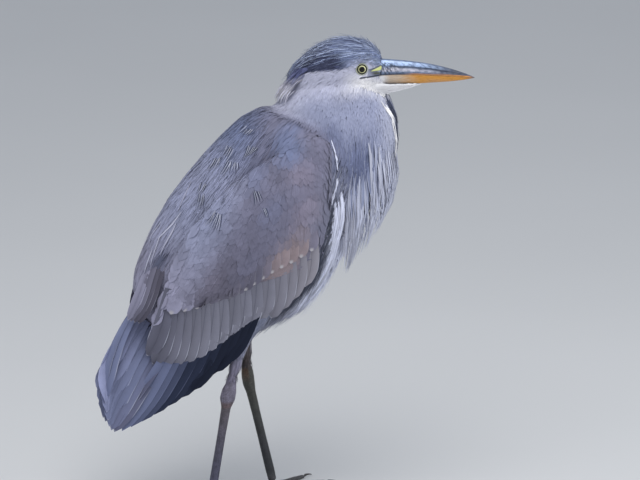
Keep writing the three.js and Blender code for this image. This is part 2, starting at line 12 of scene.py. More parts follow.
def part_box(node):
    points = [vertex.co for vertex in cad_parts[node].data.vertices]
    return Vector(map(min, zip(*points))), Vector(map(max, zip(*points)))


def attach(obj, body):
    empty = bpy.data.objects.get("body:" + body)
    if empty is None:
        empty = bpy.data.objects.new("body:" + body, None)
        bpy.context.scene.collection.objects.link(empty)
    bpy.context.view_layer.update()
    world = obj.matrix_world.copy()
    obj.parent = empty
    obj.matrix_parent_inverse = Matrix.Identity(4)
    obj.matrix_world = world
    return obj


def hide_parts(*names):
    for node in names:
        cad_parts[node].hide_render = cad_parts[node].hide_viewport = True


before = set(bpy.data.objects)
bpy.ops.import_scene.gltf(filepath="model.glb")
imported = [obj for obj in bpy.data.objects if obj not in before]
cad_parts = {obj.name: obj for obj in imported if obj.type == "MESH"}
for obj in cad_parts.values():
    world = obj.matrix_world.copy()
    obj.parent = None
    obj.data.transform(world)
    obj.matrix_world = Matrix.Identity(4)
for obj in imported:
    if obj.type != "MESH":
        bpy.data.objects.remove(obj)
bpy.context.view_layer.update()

MM = 0.001
SIDES = {"right": -1, "left": 1}
dice = np.random.default_rng(1758)
STATIONS = 9  # points along each feather's spine

# ---- where things are ------------------------------------------------------------------------


def node_middle(name):
    low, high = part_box(name)
    return (low + high) / 2


# The head's own frame: its origin lies between the eyes, and it turns to the bird's right.
EYE_LIFT = -0.2 * MM
HEAD_TURN = math.radians(-10)
HEAD = (node_middle("eye_right") + node_middle("eye_left")) / 2 - Vector((0, 0, EYE_LIFT))
HEAD_AXES = np.array(Matrix.Rotation(HEAD_TURN, 3, "Z"))

# The body's own chart: distance along its leaning axis, and height towards the back.
BODY_PITCH = math.radians(57)
HEAD_TO_BODY = Vector((-103, 5, -153)) * MM
BODY = HEAD + HEAD_TO_BODY
ALONG = np.array([-math.cos(BODY_PITCH), 0, -math.sin(BODY_PITCH)])
DORSAL = np.array([-math.sin(BODY_PITCH), 0, math.cos(BODY_PITCH)])
DOWN = np.array([0, 0, -1.0])


def head_chart(points):
    """Forward, left and up of each point in the head's frame, in millimetres."""
    return ((points - np.array(HEAD)) @ HEAD_AXES / MM).T


def body_chart(points):
    """Distance along the body and towards the back of each point, in millimetres."""
    offset = (points - np.array(BODY)) / MM
    return offset @ ALONG, offset @ DORSAL


def from_body(along, dorsal, left):
    """Points by their place in the body's chart, in millimetres, and distance to the left."""
    along, dorsal, left = np.broadcast_arrays(along, dorsal, left)
    offset = along[..., None] * ALONG + dorsal[..., None] * DORSAL
    offset[..., 1] += left
    return np.array(BODY) + offset * MM


def from_head(forward, left, up):
    forward, left, up = np.broadcast_arrays(forward, left, up)
    return np.array(HEAD) + np.stack([forward, left, up], -1) * MM @ HEAD_AXES.T


def ramp(value, low, high):
    """Rises smoothly from 0 at low to 1 at high."""
    share = np.clip((value - low) / (high - low), 0, 1)
    return share * share * (3 - 2 * share)


def spot(x, z, centre, reach):
    """A soft oval patch on a chart: 1 at its centre, 0 outside its reach."""
    distance = np.hypot((x - centre[0]) / reach[0], (z - centre[1]) / reach[1])
    return 1 - ramp(distance, 0.35, 1)


def unit(vectors):
    return vectors / np.maximum(np.linalg.norm(vectors, axis=-1, keepdims=True), 1e-9)


def curve_through(stops):
    """A smooth function through [position, value] stops."""
    where, what = np.array(stops, float).T
    slopes = np.gradient(what, where)

    def value(at):
        at = np.clip(at, where[0], where[-1])
        i = np.clip(np.searchsorted(where, at) - 1, 0, len(where) - 2)
        step = where[i + 1] - where[i]
        t = (at - where[i]) / step
        start = (1 + 2 * t) * (1 - t) ** 2 * what[i] + t * (1 - t) ** 2 * step * slopes[i]
        end = t * t * (3 - 2 * t) * what[i + 1] - t * t * (1 - t) * step * slopes[i + 1]
        return start + end

    return value


def course_at(course, share):
    """Each column of a course, whose rows lie at even steps, at shares of its length."""
    stops = np.linspace(0, 1, len(course))
    columns = np.array(course, float).T
    return [curve_through(np.stack([stops, column], -1))(share) for column in columns]


# ---- working with objects --------------------------------------------------------------------


def select_only(*objects):
    bpy.ops.object.select_all(action="DESELECT")
    for obj in objects:
        obj.select_set(True)
    bpy.context.view_layer.objects.active = objects[-1]


def apply_modifier(obj, kind, **settings):
    select_only(obj)
    modifier = obj.modifiers.new(kind.title(), kind)
    for key, value in settings.items():
        setattr(modifier, key, value)
    bpy.ops.object.modifier_apply(modifier=modifier.name)


def smooth(obj):
    select_only(obj)
    bpy.ops.object.shade_smooth()


def new_object(name, data):
    obj = bpy.data.objects.new(name, data)
    bpy.context.scene.collection.objects.link(obj)
    return obj


def basic_shape(add, name, **settings):
    """A new mesh of a basic shape, without the layout that comes with it."""
    bpy.ops.object.select_all(action="DESELECT")
    add(**settings)
    shape = bpy.context.object
    shape.name = name
    for layer in list(shape.data.uv_layers):
        shape.data.uv_layers.remove(layer)
    return shape


def in_edit_mode(*steps):
    """Runs mesh operators, each with its settings, on all of the active object's mesh."""
    bpy.ops.object.mode_set(mode="EDIT")
    bpy.ops.mesh.select_all(action="SELECT")
    for operator, settings in steps:
        operator(**settings)
    bpy.ops.object.mode_set(mode="OBJECT")


def copy_of_nodes(name, nodes):
    """One object holding merged copies of some of the solids."""
    copies = [new_object(name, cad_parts[node].data.copy()) for node in nodes]
    for copy in copies:
        copy.data.materials.clear()
    select_only(*copies)
    bpy.ops.object.join()
    piece = bpy.context.object
    piece.name = name
    in_edit_mode((bpy.ops.mesh.remove_doubles, {"threshold": 0.01 * MM}))
    return piece


def read(items, key, width, kind=np.float32):
    """A row of numbers for each of a mesh's items."""
    values = np.empty(len(items) * width, kind)
    items.foreach_get(key, values)
    return values.reshape(-1, width)


def points_of(obj):
    return read(obj.data.vertices, "co", 3).astype(float)


def normals_of(obj):
    return read(obj.data.vertex_normals, "vector", 3).astype(float)


def move_points(obj, places):
    obj.data.vertices.foreach_set("co", places.astype(np.float32).ravel())
    obj.data.update()


def paint(obj, layer, colours):
    """Stores one colour or set of marks per vertex."""
    attribute = obj.data.color_attributes.new(layer, "FLOAT_COLOR", "POINT")
    full = np.ones((len(obj.data.vertices), 4), np.float32)
    full[:, : colours.shape[1]] = colours
    attribute.data.foreach_set("color", full.ravel())


def node_tree_of(*nodes):
    """A search tree over some of the solids, and the node each of its faces belongs to."""
    places, faces, owners = [], [], []
    for number, node in enumerate(nodes):
        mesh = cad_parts[node].data
        start = len(places)
        places += [vertex.co.copy() for vertex in mesh.vertices]
        faces += [[start + index for index in face.vertices] for face in mesh.polygons]
        owners += [number] * len(mesh.polygons)
    return BVHTree.FromPolygons(places, faces), np.array(owners)


# ---- colours, linear -------------------------------------------------------------------------

TONES = {
    "face": (0.47, 0.48, 0.61),
    "throat": (0.88, 0.87, 0.89),
    "crown": (0.17, 0.21, 0.35),
    "crown_pale": (0.36, 0.42, 0.58),
    "nape": (0.035, 0.040, 0.085),
    "fluff": (0.58, 0.58, 0.69),
    "neck": (0.31, 0.335, 0.475),
    "neck_streak": (0.045, 0.055, 0.10),
    "breast": (0.33, 0.36, 0.48),
    "breast_slate": (0.10, 0.12, 0.22),
    "mantle": (0.155, 0.185, 0.31),
    "back": (0.275, 0.295, 0.425),
    "rump": (0.31, 0.305, 0.42),
    "covert": (0.165, 0.163, 0.235),
    "covert_brown": (0.132, 0.122, 0.165),
    "covert_buff": (0.36, 0.27, 0.26),
    "covert_edge": (0.46, 0.44, 0.47),
    "covert_rose": (0.235, 0.205, 0.27),
    "slate": (0.055, 0.066, 0.115),
    "secondary_front": (0.28, 0.265, 0.305),
    "secondary": (0.225, 0.225, 0.285),
    "secondary_rear": (0.128, 0.128, 0.178),
    "primary": (0.013, 0.017, 0.034),
    "primary_mid": (0.028, 0.036, 0.070),
    "tertial": (0.115, 0.11, 0.155),
    "tertial_low": (0.075, 0.07, 0.10),
    "tail_low": (0.112, 0.115, 0.185),
    "tail": (0.175, 0.20, 0.33),
    "tail_top": (0.30, 0.325, 0.51),
    "white": (0.56, 0.58, 0.70),
    "flank": (0.23, 0.24, 0.32),
    "thigh": (0.24, 0.26, 0.36),
    "thigh_front": (0.46, 0.45, 0.51),
    "shin": (0.20, 0.185, 0.255),
    # painted shade: the far thigh's lower part, which lies in shade
    "shin_in_shade": (0.085, 0.07, 0.07),
    "lores": (0.11, 0.12, 0.16),
    "lores_rear": (0.30, 0.32, 0.42),
    "lores_pale": (0.33, 0.39, 0.52),
    "lores_yellow": (0.62, 0.66, 0.26),
    "lores_shadow": (0.06, 0.065, 0.02),
    "eye_ring": (0.52, 0.55, 0.36),
    "lid": (0.012, 0.014, 0.022),
    "gape": (0.02, 0.026, 0.045),
    "slate_horn": (0.125, 0.17, 0.275),
    "slate_horn_tip": (0.085, 0.095, 0.13),
    # painted reflection and highlight on the upper bill's glossy horn
    "horn_sky_reflection": (0.50, 0.66, 0.98),
    "horn_pale_highlight": (0.60, 0.60, 0.70),
    "horn_streak": (0.03, 0.045, 0.10),
    "horn_speck": (0.02, 0.03, 0.06),
    "horn_groove": (0.010, 0.016, 0.04),
    "horn_lip": (0.62, 0.25, 0.035),
    "flesh_horn": (0.56, 0.44, 0.33),
    "orange_horn": (0.62, 0.27, 0.03),
    "brown_horn": (0.42, 0.20, 0.07),
    "dull_horn": (0.55, 0.33, 0.20),
    "horn_seam": (0.16, 0.09, 0.05),
    "shank": (0.070, 0.070, 0.110),
    "shank_top": (0.100, 0.086, 0.100),
    # painted shade: darker tones of the far leg, which stands in shade
    "far_shank": (0.026, 0.028, 0.034),
    "shank_top_in_shade": (0.058, 0.058, 0.050),
    "hock": (0.185, 0.17, 0.235),
    "hock_crease": (0.12, 0.06, 0.05),
    "rust": (0.155, 0.08, 0.045),
    "toe": (0.10, 0.095, 0.10),
    "claw": (0.02, 0.018, 0.018),
    "claw_pale": (0.06, 0.05, 0.05),
}
TONES = {name: np.array(value) for name, value in TONES.items()}


def blended(base, other, share):
    return base + (other - base) * np.asarray(share)[..., None]


def layered(colour, *layers):
    """A colour with others laid over it in turn, each (tone or its name, share)."""
    for tone, share in layers:
        colour = blended(colour, TONES[tone] if isinstance(tone, str) else tone, share)
    return colour


def flat(tone, count):
    """The same tone for each of a count of points or feathers."""
    return np.tile(TONES[tone] if isinstance(tone, str) else tone, (count, 1))


def crown_line(x):
    """Height of the crown's lower edge on the side of the head."""
    return np.interp(x, [-104, -92, -80, -62, -28, -8, 8, 14, 24], [-22, -12, -4, 0, 2, 6, 9, 4, 3])


def head_colour(points):
    x, y, z = head_chart(points)
    above = z - crown_line(x)
    brow = ramp(x, -30, -8) * (1 - ramp(x, 12, 20)) * (1 - ramp(above, 4, 13))
    band = ramp(above, -3, 2) * (1 - ramp(above / (9 + 20 * ramp(-x, 22, 48)), 0.8, 1.6))
    nape = np.maximum(band * ramp(-x, 14, 34), ramp(above, -2, 3) * ramp(-x, 74, 92))
    return layered(
        flat("face", len(x)),
        ("throat", ramp(-z - 0.25 * x, 0, 18) * ramp(x, -34, 4)),
        ("crown", ramp(above, -2, 3)),
        ("crown_pale", 0.5 * ramp(x, -22, 12) * ramp(above, -1, 4)),
        ("face", 0.45 * brow * ramp(above, -1, 1)),
        ("nape", 0.95 * nape),
    )


def neck_colour(points):
    x, y, z = points.T / MM
    fold = np.interp(x, [50, 74, 96, 112, 130], [552, 556, 564, 560, 548])
    # A thin dark line just under the chin's fold: painted shade.
    under = (1 - ramp(np.abs(z - fold + 3), 1, 4)) * ramp(x, 58, 70) * (1 - ramp(x, 96, 112))
    # A dark patch in the crease where the neck meets the mantle: painted shade.
    crease = spot(x + 0.35 * (z - 520), z, (42, 520), (6, 16)) * ramp(np.abs(y), 40, 56)
    streak = (1 - ramp(np.abs(np.abs(y) - 9), 2, 7)) * ramp(x, 112, 128)
    return layered(
        flat("neck", len(x)),
        ("face", ramp(z, 543, 578) * (1 - ramp(x, 90, 130))),
        ("breast_slate", 0.35 * ramp(x, 20, 60) * (1 - ramp(z, 470, 540))),
        ("breast_slate", 0.8 * spot(x, z, (90, 452), (44, 76))),
        ("breast_slate", 0.9 * spot(x, z, (52, 500), (20, 38))),
        ("white", 0.5 * ramp(x, 112, 138) * (1 - ramp(z, 540, 570))),
        ("fluff", 0.5 * ramp(-x, -34, 6) * (1 - ramp(z, 560, 585))),
        ("throat", 0.75 * ramp(z - fold, -2, 10) * ramp(x, 60, 96)),
        # painted shade under the chin's fold
        ("nape", 0.3 * under),
        # painted shade in the crease by the mantle
        ("nape", 0.8 * crease),
        ("neck_streak", 0.8 * streak * ramp(z, 470, 520)),
    )


def upper_tone(along, dorsal):
    """The shared colour of mantle and wing coverts, so that neither ends in a line."""
    back = layered(
        flat("mantle", len(along)),
        ("back", ramp(along, -40, 40)),
        ("rump", ramp(along, 90, 200)),
    )
    colour = layered(
        flat("covert", len(along)),
        ("covert_brown", 0.8 * ramp(along, 60, 170)),
        *[(name, share * spot(along, dorsal, *place)) for name, share, *place in UPPER_PATCHES],
        (back, ramp(dorsal + 0.15 * along, 50, 96)),
        # A dark slate patch between the tertials and the coverts: painted shade.
        ("slate", 0.9 * spot(along, dorsal, (170, 100), (32, 11))),
    )
    return colour * (1 + 0.2 * blotches(along, dorsal))[:, None]


UPPER_PATCHES = [
    ("covert_rose", 0.7, (36, 84), (34, 13)),
    ("covert_rose", 0.5, (-30, 14), (26, 30)),
    ("covert_rose", 0.4, (118, 64), (34, 20)),
    ("covert_rose", 0.25, (150, 40), (40, 16)),
    ("covert_rose", 0.7, (10, -20), (40, 26)),
    ("mantle", 0.85, (-52, 44), (36, 26)),
    ("mantle", 0.4, (4, 60), (30, 13)),
    ("mantle", 0.3, (30, 24), (34, 16)),
    ("mantle", 0.12, (112, 12), (34, 12)),
]  # tone, strength, centre and reach, both along and dorsal

WHITE_EDGE = [
    [-20, 0, 26, 52, 75, 95, 131, 163, 199], [-58, -67, -77, -85, -93, -95, -86, -77, -66]
]  # along and dorsal of the upper edge of the white flank


def trunk_colour(points):
    along, dorsal = body_chart(points)
    under = 1 - ramp(dorsal, -40, 10)
    below = np.interp(along, *WHITE_EDGE) - dorsal
    begin = ramp(along, -30, -10)
    # A dark band along the upper edge of the white flank, where the wing casts its shadow: painted
    # shade.
    gap = ramp(-below, -8, -4) * (1 - ramp(-below, 8, 16)) * begin
    return layered(
        upper_tone(along, dorsal),
        ("flank", under),
        ("breast_slate", 0.7 * under * (1 - ramp(along, -70, -20))),
        (TONES["white"] * 1.15, 0.95 * ramp(below, 3, 7) * begin * (1 - ramp(along, 110, 170))),
        # painted shadow of the wing
        (TONES["slate"] * 0.5, 0.92 * gap * (1 - ramp(along, 150, 190))),
    )


def covert_colour(points):
    along, dorsal = body_chart(points)
    return layered(
        upper_tone(along, dorsal),
        ("covert_buff", 0.65 * spot(along, dorsal, (80, -32), (66, 30))),
        ("flank", 0.3 * ramp(-dorsal, 2, 40) * (1 - ramp(along, 10, 60))),
    )


BLOTCH_WAVES = dice.normal(0, 1, (9, 3))


def blotches(along, dorsal):
    """Soft dark and light clouds from -1 to 1, some 20 mm across."""
    total = 0
    for a, b, start in BLOTCH_WAVES:
        total = total + np.sin(0.16 * (a * along + 1.2 * b * dorsal) + 5 * start)
    return np.clip(total / 4, -1, 1)


def thigh_colour(points):
    x, y, z = points.T / MM
    low = 1 - ramp(z, 194, 230)
    # The lower thigh of the far (left) leg turns darker: painted shade.
    return layered(flat("thigh", len(x)), ("shin", low), ("shin_in_shade", low * ramp(y, -5, 5)))


FLESH = {
    "head": (head_colour, 1.3, ["head"]),
    "neck": (neck_colour, 1.8, ["neck_upper", "neck_middle", "neck_lower"]),
    "trunk": (trunk_colour, 2.6, ["trunk"]),
    "wing": (covert_colour, 2.2, ["wing_right", "wing_left"]),
    "thigh": (thigh_colour, 0.8, ["thigh_right", "thigh_left"]),
}  # colour, depth of the coat in millimetres and solids of each part of the body
FLESH_NODES = [node for _, _, nodes in FLESH.values() for node in nodes]
REGION_OF_NODE = [region for region, (_, _, nodes) in FLESH.items() for _ in nodes]
flesh_tree, flesh_owner = node_tree_of(*FLESH_NODES)


def regions_of(points):
    """The part of the body that each point belongs to."""
    owners = [flesh_owner[flesh_tree.find_nearest(Vector(point))[2]] for point in points]
    return np.array([REGION_OF_NODE[owner] for owner in owners])


def plumage_colour(points, regions):
    colours = np.empty((len(points), 3))
    for region, (colour, _, _) in FLESH.items():
        here = regions == region
        if here.any():
            colours[here] = colour(points[here])
    return colours


# ---- the form under the coat -----------------------------------------------------------------

FORM_VOXEL = 2.6 * MM
LEG_NODES = [f"{part}_{side}" for part in ("leg", "foot") for side in SIDES]
LEG_CUT = 0.172  # the form takes in the legs above this height
SWELL = 0.5 * MM  # closes the gaps between neighbouring solids

WING_TOP = [[-86, 14], [-45, 50], [0, 76], [50, 93], [100, 101], [150, 97], [220, 76], [262, 66]]


def soften_wing_top(form):
    """Lets the mantle run over the upper edge of each folded wing without a step."""
    points = points_of(form)
    along, dorsal = body_chart(points)
    gap = np.abs(dorsal - np.interp(along, *np.array(WING_TOP, float).T))
    share = (1 - ramp(gap, 9, 24)) * ramp(np.abs(points[:, 1]), 0.034, 0.044)
    share *= ramp(-along, -200, -150)
    group = form.vertex_groups.new(name="soft edge")
    for i in np.nonzero(share > 0.02)[0]:
        group.add([int(i)], float(share[i]), "REPLACE")
    apply_modifier(form, "SMOOTH", factor=0.5, iterations=70, vertex_group=group.name)
    form.vertex_groups.clear()


def make_form():
    form = copy_of_nodes("form", FLESH_NODES + LEG_NODES)
    cut = {"plane_co": (0, 0, LEG_CUT), "plane_no": (0, 0, 1), "clear_inner": True}
    cut["use_fill"] = True
    in_edit_mode((bpy.ops.mesh.bisect, cut))
    apply_modifier(form, "DISPLACE", strength=SWELL, mid_level=0.0)
    apply_modifier(form, "REMESH", mode="VOXEL", voxel_size=FORM_VOXEL)
    apply_modifier(form, "SMOOTH", factor=0.5, iterations=12)
    soften_wing_top(form)
    select_only(form)
    unwrap = {"angle_limit": math.radians(70), "island_margin": 0.004}
    in_edit_mode((bpy.ops.uv.smart_project, unwrap))
    return form


form = make_form()
form_points = points_of(form)
form_normals = normals_of(form)
form_tree = BVHTree.FromObject(form, bpy.context.evaluated_depsgraph_get())
form_regions = regions_of(form_points)
form_edges = read(form.data.edges, "vertices", 2, np.int32)


def eased(values, rounds):
    """Values at the form's points, each drawn towards those of its neighbours."""
    count = len(form_points)
    ends = np.concatenate([form_edges, form_edges[:, ::-1]])
    share = 1 + np.bincount(ends[:, 0], minlength=count)
    for _ in range(rounds):
        sums = [np.bincount(ends[:, 0], column[ends[:, 1]], count) for column in values.T]
        values = (values + np.stack(sums, -1)) / share[:, None]
    return values


def lie_of_coat(points, normals, regions):
    """The way each feather points: from the bill back and down, then along the body."""
    flow = np.tile(ALONG, (len(points), 1))
    head = regions == "head"
    x, y, z = head_chart(points[head])
    drop = 0.15 + 0.9 * ramp(-z, -14, 30) + 0.5 * ramp(-x, 40, 90)
    drop = drop * (1 - ramp(x, 26, 36))
    back = np.where((x > 22) & (z < -19), 1.0, -1.0)
    flow[head] = unit(np.stack([back, 0 * x, -drop], -1)) @ HEAD_AXES.T
    neck = regions == "neck"
    x, y, z = points[neck].T / MM
    fall = np.stack([-0.35 * ramp(z, 480, 600) - 0.1, 0 * x, -np.ones_like(x)], -1)
    behind = (1 - ramp(x, -10, 50))[:, None]
    flow[neck] = unit(fall) * (1 - behind) + ALONG * behind
    trunk = regions == "trunk"
    along, dorsal = body_chart(points[trunk])
    under = (1 - ramp(dorsal, -80, 0)) * (1 - ramp(along, 120, 220))
    flow[trunk] = ALONG + DOWN * 0.35 * under[:, None]
    wing = regions == "wing"
    along, dorsal = body_chart(points[wing])
    swing = np.radians(-34) * (1 - ramp(dorsal + 0.25 * along, -30, 90))
    flow[wing] = np.cos(swing)[:, None] * ALONG + np.sin(swing)[:, None] * DORSAL
    thigh = regions == "thigh"
    flow[thigh] = (-0.25, 0, -1)
    flow -= normals * np.sum(flow * normals, axis=1, keepdims=True)
    return unit(flow)


form_face = unit(eased(form_normals, 10))
on_neck = np.isin(form_regions, ("neck", "head"))[:, None]
form_face = np.where(on_neck, unit(eased(form_face, 30)), form_face)
form_flow = unit(eased(lie_of_coat(form_points, form_normals, form_regions), 14))
form_tone = plumage_colour(form_points, form_regions)
on_head = (form_regions == "head")[:, None]
form_tone = np.where(on_head, eased(form_tone, 2), eased(form_tone, 10))
border = eased((form_regions == "neck")[:, None] * 1.0, 40)
form_tone = np.where((border > 0.04) & (border < 0.96) & ~on_head, eased(form_tone, 16), form_tone)
shin_front = ramp(form_normals[:, 0], 0.5, 0.9) * (form_regions == "thigh")
# The pale front is weaker on the far (left) thigh: painted shade.
shin_front *= 0.6 - 0.35 * ramp(form_points[:, 1], -0.005, 0.005)
form_tone = blended(form_tone, TONES["thigh_front"], shin_front)
form_face_point = np.array([face.vertices[0] for face in form.data.polygons])
form_uv = read(form.data.uv_layers.active.data, "uv", 2)
first_loops = np.array([face.loop_start for face in form.data.polygons])
form_face_uv = (form_uv[first_loops] + form_uv[first_loops + 2]) / 2


def on_form(points):
    """The nearest places on the form, with the number of the face and of a point there."""
    places = np.empty_like(points)
    faces = np.empty(len(points), np.int64)
    for i, point in enumerate(points):
        place, _, faces[i], _ = form_tree.find_nearest(Vector(point))
        places[i] = place
    return places, faces, form_face_point[faces]


form.data.calc_loop_triangles()
triangles = read(form.data.loop_triangles, "vertices", 3, np.int32)
corner_points = form_points[triangles]
edges = corner_points[:, 1:] - corner_points[:, :1]
areas = np.linalg.norm(np.cross(edges[:, 0], edges[:, 1]), axis=1) / 2
middles = corner_points.mean(1)
middle_regions = form_regions[triangles[:, 0]]
middle_normals = form_normals[triangles[:, 0]]

CANDIDATES = 5  # tries for each feather that fits


def scattered(chosen, spacing):
    """Root places on the chosen triangles, no two closer than the spacing in millimetres."""
    spacing = np.broadcast_to(spacing, len(areas)) * MM
    share = chosen * areas / spacing**2
    total = int(CANDIDATES * share.sum())
    picked = dice.choice(len(areas), total, p=share / share.sum())
    a, b = dice.random((2, total, 1))
    flip = a + b > 1
    a, b = np.where(flip, 1 - a, a), np.where(flip, 1 - b, b)
    corner = triangles[picked]
    weights = np.concatenate([1 - a - b, a, b], 1)[..., None]
    points = (form_points[corner] * weights).sum(1)
    gaps = spacing[picked]
    tree = KDTree(total)
    for i, point in enumerate(points):
        tree.insert(point, i)
    tree.balance()
    free = np.ones(total, bool)
    kept = []
    for i in range(total):
        if free[i]:
            kept.append(i)
            for _, j, _ in tree.find_range(points[i], gaps[i]):
                free[j] = False
    return points[np.array(kept)]


def walked(roots, length, lift, sink, spread=0.08, stiff=0.5, turn=0.0):
    """Spines over the form that follow the lie of the coat, with the outward side along each."""
    count = len(roots)
    length = np.broadcast_to(length, count)[:, None] * MM
    spine = np.empty((count, STATIONS, 3))
    face = np.empty_like(spine)
    place, faces, near = on_form(roots)
    root_uv = form_face_uv[faces]
    heading = form_flow[near]
    side = np.cross(form_face[near], heading)
    heading = unit(heading + side * (dice.normal(0, spread, (count, 1)) + turn))
    for j in range(STATIONS):
        normal = form_face[near]
        spine[:, j], face[:, j] = place, normal
        if j == STATIONS // 2:
            middle = near
        if j < STATIONS - 1:
            heading = unit(stiff * heading + (1 - stiff) * form_flow[near])
            heading = unit(heading - normal * np.sum(heading * normal, 1, keepdims=True))
            place, _, near = on_form(place + heading * length / (STATIONS - 1))
    t = np.linspace(0, 1, STATIONS)
    lift = np.broadcast_to(lift, count)[:, None]
    height = (lift * t**1.5 - sink * (1 - t) ** 2) * MM
    spine += face * height[..., None]
    for _ in range(3):
        spine[:, 1:-1] = (spine[:, :-2] + 2 * spine[:, 1:-1] + spine[:, 2:]) / 4
    return spine, face, root_uv, middle


def room_at(roots):
    """Where each root lies on the form's unwrap."""
    return walked(roots, 1.0, 0, 0)[2]


def settled(spine, low, high):
    """Spines raised off the form from low to high, with their outward sides and unwrap places."""
    face = form_face[on_form(spine.reshape(-1, 3))[2]].reshape(spine.shape)
    room = form_face_uv[on_form(spine[:, 0])[1]]
    return spine + face * np.linspace(low, high, STATIONS)[:, None] * MM, face, room


# ---- feather patterns ------------------------------------------------------------------------


def feather_pattern(corners, widths, thins):
    """One flat feather from root to tip: x across it, y along it, z through it, each of unit size.

    widths are the vane's half widths at even steps, and thins its half thickness there.
    """
    settings = {"fill_type": "NGON", "rotation": (math.radians(90), 0, 0)}
    circle = bpy.ops.mesh.primitive_circle_add
    pattern = basic_shape(circle, "feather pattern", vertices=corners, **settings)
    bpy.ops.object.transform_apply(location=False, rotation=True, scale=True)
    bpy.ops.object.mode_set(mode="EDIT")
    bpy.ops.mesh.select_all(action="SELECT")
    bpy.ops.transform.rotate(value=-math.pi / 2, orient_axis="Y", center_override=(0, 0, 0))
    bpy.ops.transform.resize(value=(widths[0], 1, thins[0]), center_override=(0, 0, 0))
    step = 1 / (len(widths) - 1)
    for i in range(1, len(widths)):
        move = {"value": (0, step, 0)}
        bpy.ops.mesh.extrude_region_move(TRANSFORM_OT_translate=move)
        size = (widths[i] / widths[i - 1], 1, thins[i] / thins[i - 1])
        bpy.ops.transform.resize(value=size, center_override=(0, i * step, 0))
    bpy.ops.mesh.select_all(action="SELECT")
    bpy.ops.mesh.normals_make_consistent(inside=False)
    bpy.ops.object.mode_set(mode="OBJECT")
    places = points_of(pattern)
    faces = [list(face.vertices) for face in pattern.data.polygons]
    bpy.data.objects.remove(pattern)
    return places, faces


def vane(corners, steps, widest, point, root=0.35):
    """Half widths and thicknesses of a feather that is widest at a share and ends in a point."""
    t = np.linspace(0, 1, steps + 1)
    rise = root + (1 - root) * np.sin(np.clip(t / widest, 0, 1) * math.pi / 2)
    fall = np.clip((1 - t) / (1 - widest), 0, 1) ** point
    widths = np.maximum(rise * np.where(t > widest, fall, 1), 0.04)
    thins = np.interp(t, [0, 0.3, 1], [1, 0.8, 0.25])
    return feather_pattern(corners, widths.tolist(), thins.tolist())


patterns = {
    "short": vane(4, 3, 0.45, 0.6),
    "rounded": vane(4, 5, 0.62, 0.42),
    "lance": vane(4, 4, 0.35, 0.9),
    "hair": vane(3, 4, 0.25, 0.8, root=0.7),
    "flight": vane(8, 14, 0.75, 0.36, root=0.4),
    "pointed": vane(8, 14, 0.6, 0.55, root=0.4),
    "shaft": vane(4, 8, 0.1, 0.9, root=0.9),
}

# ---- laying feathers -------------------------------------------------------------------------


